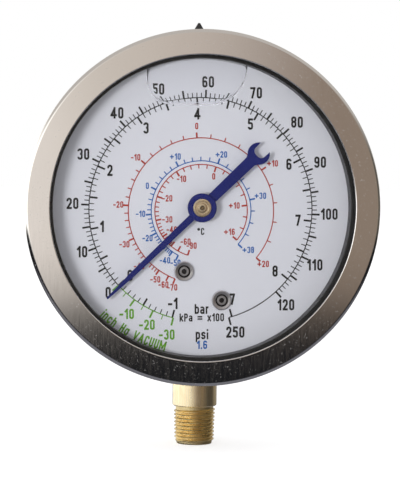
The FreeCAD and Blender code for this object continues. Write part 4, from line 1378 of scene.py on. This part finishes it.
@dataclass
class Filling:
    """Glycerine before the dial and the air bubble left in it; sizes in millimetres."""

    nodes: dict[str, bpy.types.Object]
    axis: Vector
    front: float = -18.78
    back: float = -14.07
    radius: float = 36.5
    bubble_left: float = -14.0
    bubble_right: float = 10.6
    bubble_bottom: float = 25.2
    left_corner: float = 6.0
    right_corner: float = 9.5
    skin: float = 0.12
    edge: float = 1.25
    flat_area: float = 60.0
    flat_inset: float = 0.05
    rim_gap: float = 0.05
    overshoot: float = 4.0

    def build(self) -> None:
        """Builds the clear body, the bubble's skin and dresses the rear filling."""
        body = turned("glycerine_body", rounded([
            (0.0, self.front, 0.0), (self.radius, self.front, 0.1), (self.radius, self.back, 0.1),
            (0.0, self.back, 0.0)], 3), self.axis, DEPTH)
        bubble = self.blow_bubble()
        fit(body, LIQUID, ["glycerine_front"])
        fit(bubble, BUBBLE_SKIN, ["glycerine_front"])
        for clear in (body, bubble):
            clear.visible_shadow = clear.visible_diffuse = False
        dress(self.nodes["glycerine_rear"], LIQUID)

    def blow_bubble(self) -> bpy.types.Object:
        """Shapes the bubble: a flat slab with round lower corners and a round edge, cut off by the window's rim.

        Returns:
            The bubble's skin.
        """
        top = self.radius + self.overshoot
        middle = Vector(((self.bubble_left + self.bubble_right) / 2, (self.front + self.back) / 2,
                         (self.bubble_bottom + top) / 2)) * MM + self.axis
        bpy.ops.mesh.primitive_cube_add(size=MM, location=middle, scale=(
            self.bubble_right - self.bubble_left, self.back - self.front - 2 * self.skin, top - self.bubble_bottom))
        slab = named("bubble_surface")
        bake_place(slab)
        floor = self.axis.z + self.bubble_bottom * MM
        for side, corner in ((self.bubble_left, self.left_corner), (self.bubble_right, self.right_corner)):
            with editing(slab):
                bpy.ops.mesh.select_all(action="DESELECT")
            for edge in slab.data.edges:
                ends = [slab.data.vertices[index].co for index in edge.vertices]
                edge.select = all(abs(end.z - floor) + abs(end.x - side * MM) < TINY * 20 for end in ends)
            with editing(slab):
                bpy.ops.mesh.select_mode(type="EDGE")
                bpy.ops.mesh.bevel(offset=corner * MM, segments=14, affect="EDGES")
        apply_modifier(slab, "BEVEL", {"width": self.edge * MM, "segments": 8, "limit_method": "ANGLE",
                                       "angle_limit": math.radians(50.0), "use_clamp_overlap": False})
        bpy.ops.mesh.primitive_cylinder_add(vertices=256, radius=(self.radius - self.rim_gap) * MM, depth=30 * MM,
                                            location=self.axis + Vector((0.0, middle.y, 0.0)),
                                            rotation=(math.pi / 2, 0.0, 0.0))
        rim = named("bubble_rim")
        bake_place(rim)
        apply_modifier(slab, "BOOLEAN", {"operation": "INTERSECT", "object": rim, "solver": "EXACT"})
        bpy.data.objects.remove(rim)
        with editing(slab):
            bpy.ops.mesh.select_mode(type="FACE")
            bpy.ops.mesh.select_all(action="DESELECT")
        for part in slab.data.polygons:
            part.select = part.area > self.flat_area * MM * MM and abs(part.normal.y) > 0.99
        with editing(slab):
            bpy.ops.mesh.inset(thickness=self.flat_inset * MM, use_individual=True)
        pick(slab)
        bpy.ops.object.shade_smooth_by_angle(angle=math.radians(60.0))
        return slab


@dataclass
class Plug:
    """Filler plug in the top of the case."""

    nodes: dict[str, bpy.types.Object]

    def build(self) -> None:
        """Smooths the moulded plug and dresses it."""
        plug = clear_copy(self.nodes["filler_plug"], "vent_plug")
        fit(plug, PLUG_RUBBER, ["filler_plug"])


# ---------------------------------------------------------------- movement


@dataclass
class Movement:
    """Everything behind the dial, kept as the CAD shapes it."""

    nodes: dict[str, bpy.types.Object]

    def build(self) -> None:
        """Dresses the movement's nodes by their metal."""
        groups = {
            MOVEMENT_BRASS: ("front_plate", "back_plate", "pillars", "sector_gear", "link", "hairspring_collet",
                             "hairspring_stud"),
            ZINC: ("plate_screws", "movement_screws", "sector_arbor", "sector_link_pin", "tip_link_pin"),
            SPRING_METAL: ("hairspring",),
            TUBE_METAL: ("bourdon_tube", "tube_tip"),
            GASKET_RUBBER: ("stem_o_ring",),
            STEM_METAL: ("restrictor",),
        }
        for finish, names in groups.items():
            for name in names:
                dress(self.nodes[name], finish)
        log.info("movement dressed: %d nodes", sum(len(names) for names in groups.values()))


# ---------------------------------------------------------------- studio


@dataclass
class Studio:
    """Camera, floor, lamps and surroundings."""

    axis: Vector
    picture: tuple[int, int] = (400, 478)
    focal_pixels: float = 1866.6
    eye: tuple[float, float, float] = (-0.0375, -0.4733, 0.0723)
    yaw: float = 4.638
    pitch: float = 2.431
    roll: float = 0.717
    key_power: float = 2.1
    key_size: float = 0.13
    key_distance: float = 0.6
    key_yaw: float = -28.0
    key_rise: float = -2.0
    fill: float = 0.56
    floor_size: float = 8.0
    floor_colour: Colour = (0.9, 0.9, 0.9)
    floor_glow: float = 0.62

    def build(self) -> None:
        """Sets the studio up."""
        self.place_camera()
        self.lay_floor()
        self.hang_key()
        self.light_world()
        bpy.context.scene.view_settings.view_transform = "Standard"
        log.info("studio ready")

    def place_camera(self) -> None:
        """Puts the camera where the photograph was taken from."""
        data = bpy.data.cameras.new("camera")
        camera = bpy.data.objects.new("camera", data)
        bpy.context.scene.collection.objects.link(camera)
        data.sensor_width = 36.0
        data.lens = self.focal_pixels * data.sensor_width / max(self.picture)
        data.clip_start, data.clip_end = 0.01, 20.0
        camera.location = self.eye
        turns = [Matrix.Rotation(math.radians(angle), 3, axis) for angle, axis in
                 ((-self.yaw, "Z"), (90.0 - self.pitch, "X"), (self.roll, "Z"))]
        camera.rotation_euler = (turns[0] @ turns[1] @ turns[2]).to_euler()
        bpy.context.scene.camera = camera

    def lay_floor(self) -> None:
        """Lays the pale floor, white to the camera; polished metal sees the room's own ground instead."""
        bpy.ops.mesh.primitive_plane_add(size=self.floor_size)
        floor = named("floor")
        material = bpy.data.materials.new("floor_white")
        sheet = NodeSheet(material)
        paint = sheet.principled(Base_Color=self.floor_colour, Roughness=0.9)
        glow = sheet.add("Emission", {"Color": WHITE, "Strength": self.floor_glow}).outputs["Emission"]
        both = sheet.add("AddShader", {"0": paint, "1": glow}).outputs["Shader"]
        seen = sheet.add("LightPath").outputs["Is Camera Ray"]
        sheet.surface(sheet.add("MixShader", {"0": seen, "1": paint, "2": both}).outputs["Shader"])
        floor.data.materials.append(material)
        floor.visible_glossy = False

    def hang_key(self) -> None:
        """Hangs the soft key lamp to the left of the camera."""
        data = bpy.data.lights.new("key", "AREA")
        data.size = self.key_size
        data.energy = self.key_power
        lamp = bpy.data.objects.new("key", data)
        bpy.context.scene.collection.objects.link(lamp)
        yaw, rise = math.radians(self.key_yaw), math.radians(self.key_rise)
        away = Vector((math.sin(yaw) * math.cos(rise), -math.cos(yaw) * math.cos(rise), math.sin(rise)))
        lamp.location = self.axis + away * self.key_distance
        lamp.rotation_euler = away.to_track_quat("Z", "Y").to_euler()
        lamp.visible_glossy = False

    def light_world(self) -> None:
        """White to the camera, an even fill, and to polished metal a room bright on the left with a dark ground."""
        world = bpy.data.worlds.new("studio_world")
        bpy.context.scene.world = world
        sheet = NodeSheet(world)
        toward = sheet.add("SeparateXYZ", {"0": sheet.add("TexCoord").outputs["Generated"]})
        front = sheet.add("Math", {"0": toward.outputs["Y"], "1": -1.0}, operation="MULTIPLY").outputs[0]
        turn = sheet.add("Math", {"0": toward.outputs["X"], "1": front}, operation="ARCTAN2").outputs[0]
        share = sheet.between(turn, 0.0, 1.0, -math.pi, math.pi)
        walls = sheet.ramp(share, [((degrees + 180.0) / 360.0, colour) for degrees, colour in ROOM])
        height = toward.outputs["Z"]
        light = sheet.ramp(sheet.between(height, 0.0, 1.0, FADE_START, 0.0),
                           [(1.0 - rise / FADE_START, (part, part, part)) for rise, part in FLOOR_FADE])
        ground = sheet.between(height, 1.0, 0.0, *GROUND_SPAN)
        ceiling = sheet.between(height, 0.0, 1.0, *CEILING_SPAN)
        room = sheet.blend(light, DARK_FLOOR, sheet.blend(ceiling, walls, CEILING))
        room = sheet.blend(ground, room, NEAR_FLOOR)
        path = sheet.add("LightPath")
        fill = sheet.blend(path.outputs["Is Glossy Ray"], (self.fill, self.fill, self.fill * 1.02), room)
        seen = sheet.add("Math", {"0": path.outputs["Is Camera Ray"], "1": path.outputs["Is Transmission Ray"]},
                         operation="MAXIMUM").outputs[0]
        colour = sheet.blend(seen, fill, WHITE)
        sheet.add("OutputWorld", {"Surface": sheet.add("Background", {"Color": colour}).outputs["Background"]})


ROOM: Sequence[tuple[float, Colour]] = [
    (-180.0, (0.42, 0.42, 0.43)), (180.0, (0.42, 0.42, 0.43)), (-164.0, (0.5, 0.5, 0.5)),
    (-150.0, (1.9, 1.88, 1.82)), (-35.0, (1.9, 1.85, 1.75)), (-12.0, (1.02, 0.95, 0.88)),
    (-7.0, (0.92, 0.85, 0.79)), (-3.0, (0.73, 0.66, 0.59)), (4.0, (0.63, 0.55, 0.49)),
    (8.5, (0.49, 0.42, 0.37)), (13.0, (0.31, 0.24, 0.19)), (38.0, (0.32, 0.26, 0.2)),
    (68.0, (0.1, 0.09, 0.08)), (104.0, (0.1, 0.09, 0.08)), (118.0, (0.4, 0.36, 0.3)),
]
FADE_START = -0.3
GROUND_SPAN = (-0.55, -0.35)
CEILING_SPAN = (0.22, 0.5)
FLOOR_FADE = [
    (FADE_START, 0.0), (0.0, 1.0), (-0.215, 0.0), (-0.195, 0.015), (-0.165, 0.15), (-0.125, 0.8), (-0.078, 1.0),
]
DARK_FLOOR = (0.012, 0.013, 0.015)
NEAR_FLOOR = (0.2, 0.2, 0.225)
CEILING = (0.6, 0.56, 0.52)


def main() -> None:
    """Builds the dressed gauge and its studio, piece by piece."""
    logging.basicConfig(level=logging.INFO, format="%(name)s: %(message)s")
    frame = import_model()
    nodes = frame["nodes"]
    low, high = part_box("window")
    axis = Vector((0.0, 0.0, (low.z + high.z) / 2))
    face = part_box("dial_plate")[0].y / MM
    Studio(axis).build()
    Housing(nodes, axis).build()
    DialFace(nodes, axis, face).build()
    Pointer(nodes, axis).build()
    Connection(nodes).build()
    Filling(nodes, axis).build()
    Plug(nodes).build()
    Movement(nodes).build()
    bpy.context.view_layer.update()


if __name__ == "__main__":
    main()
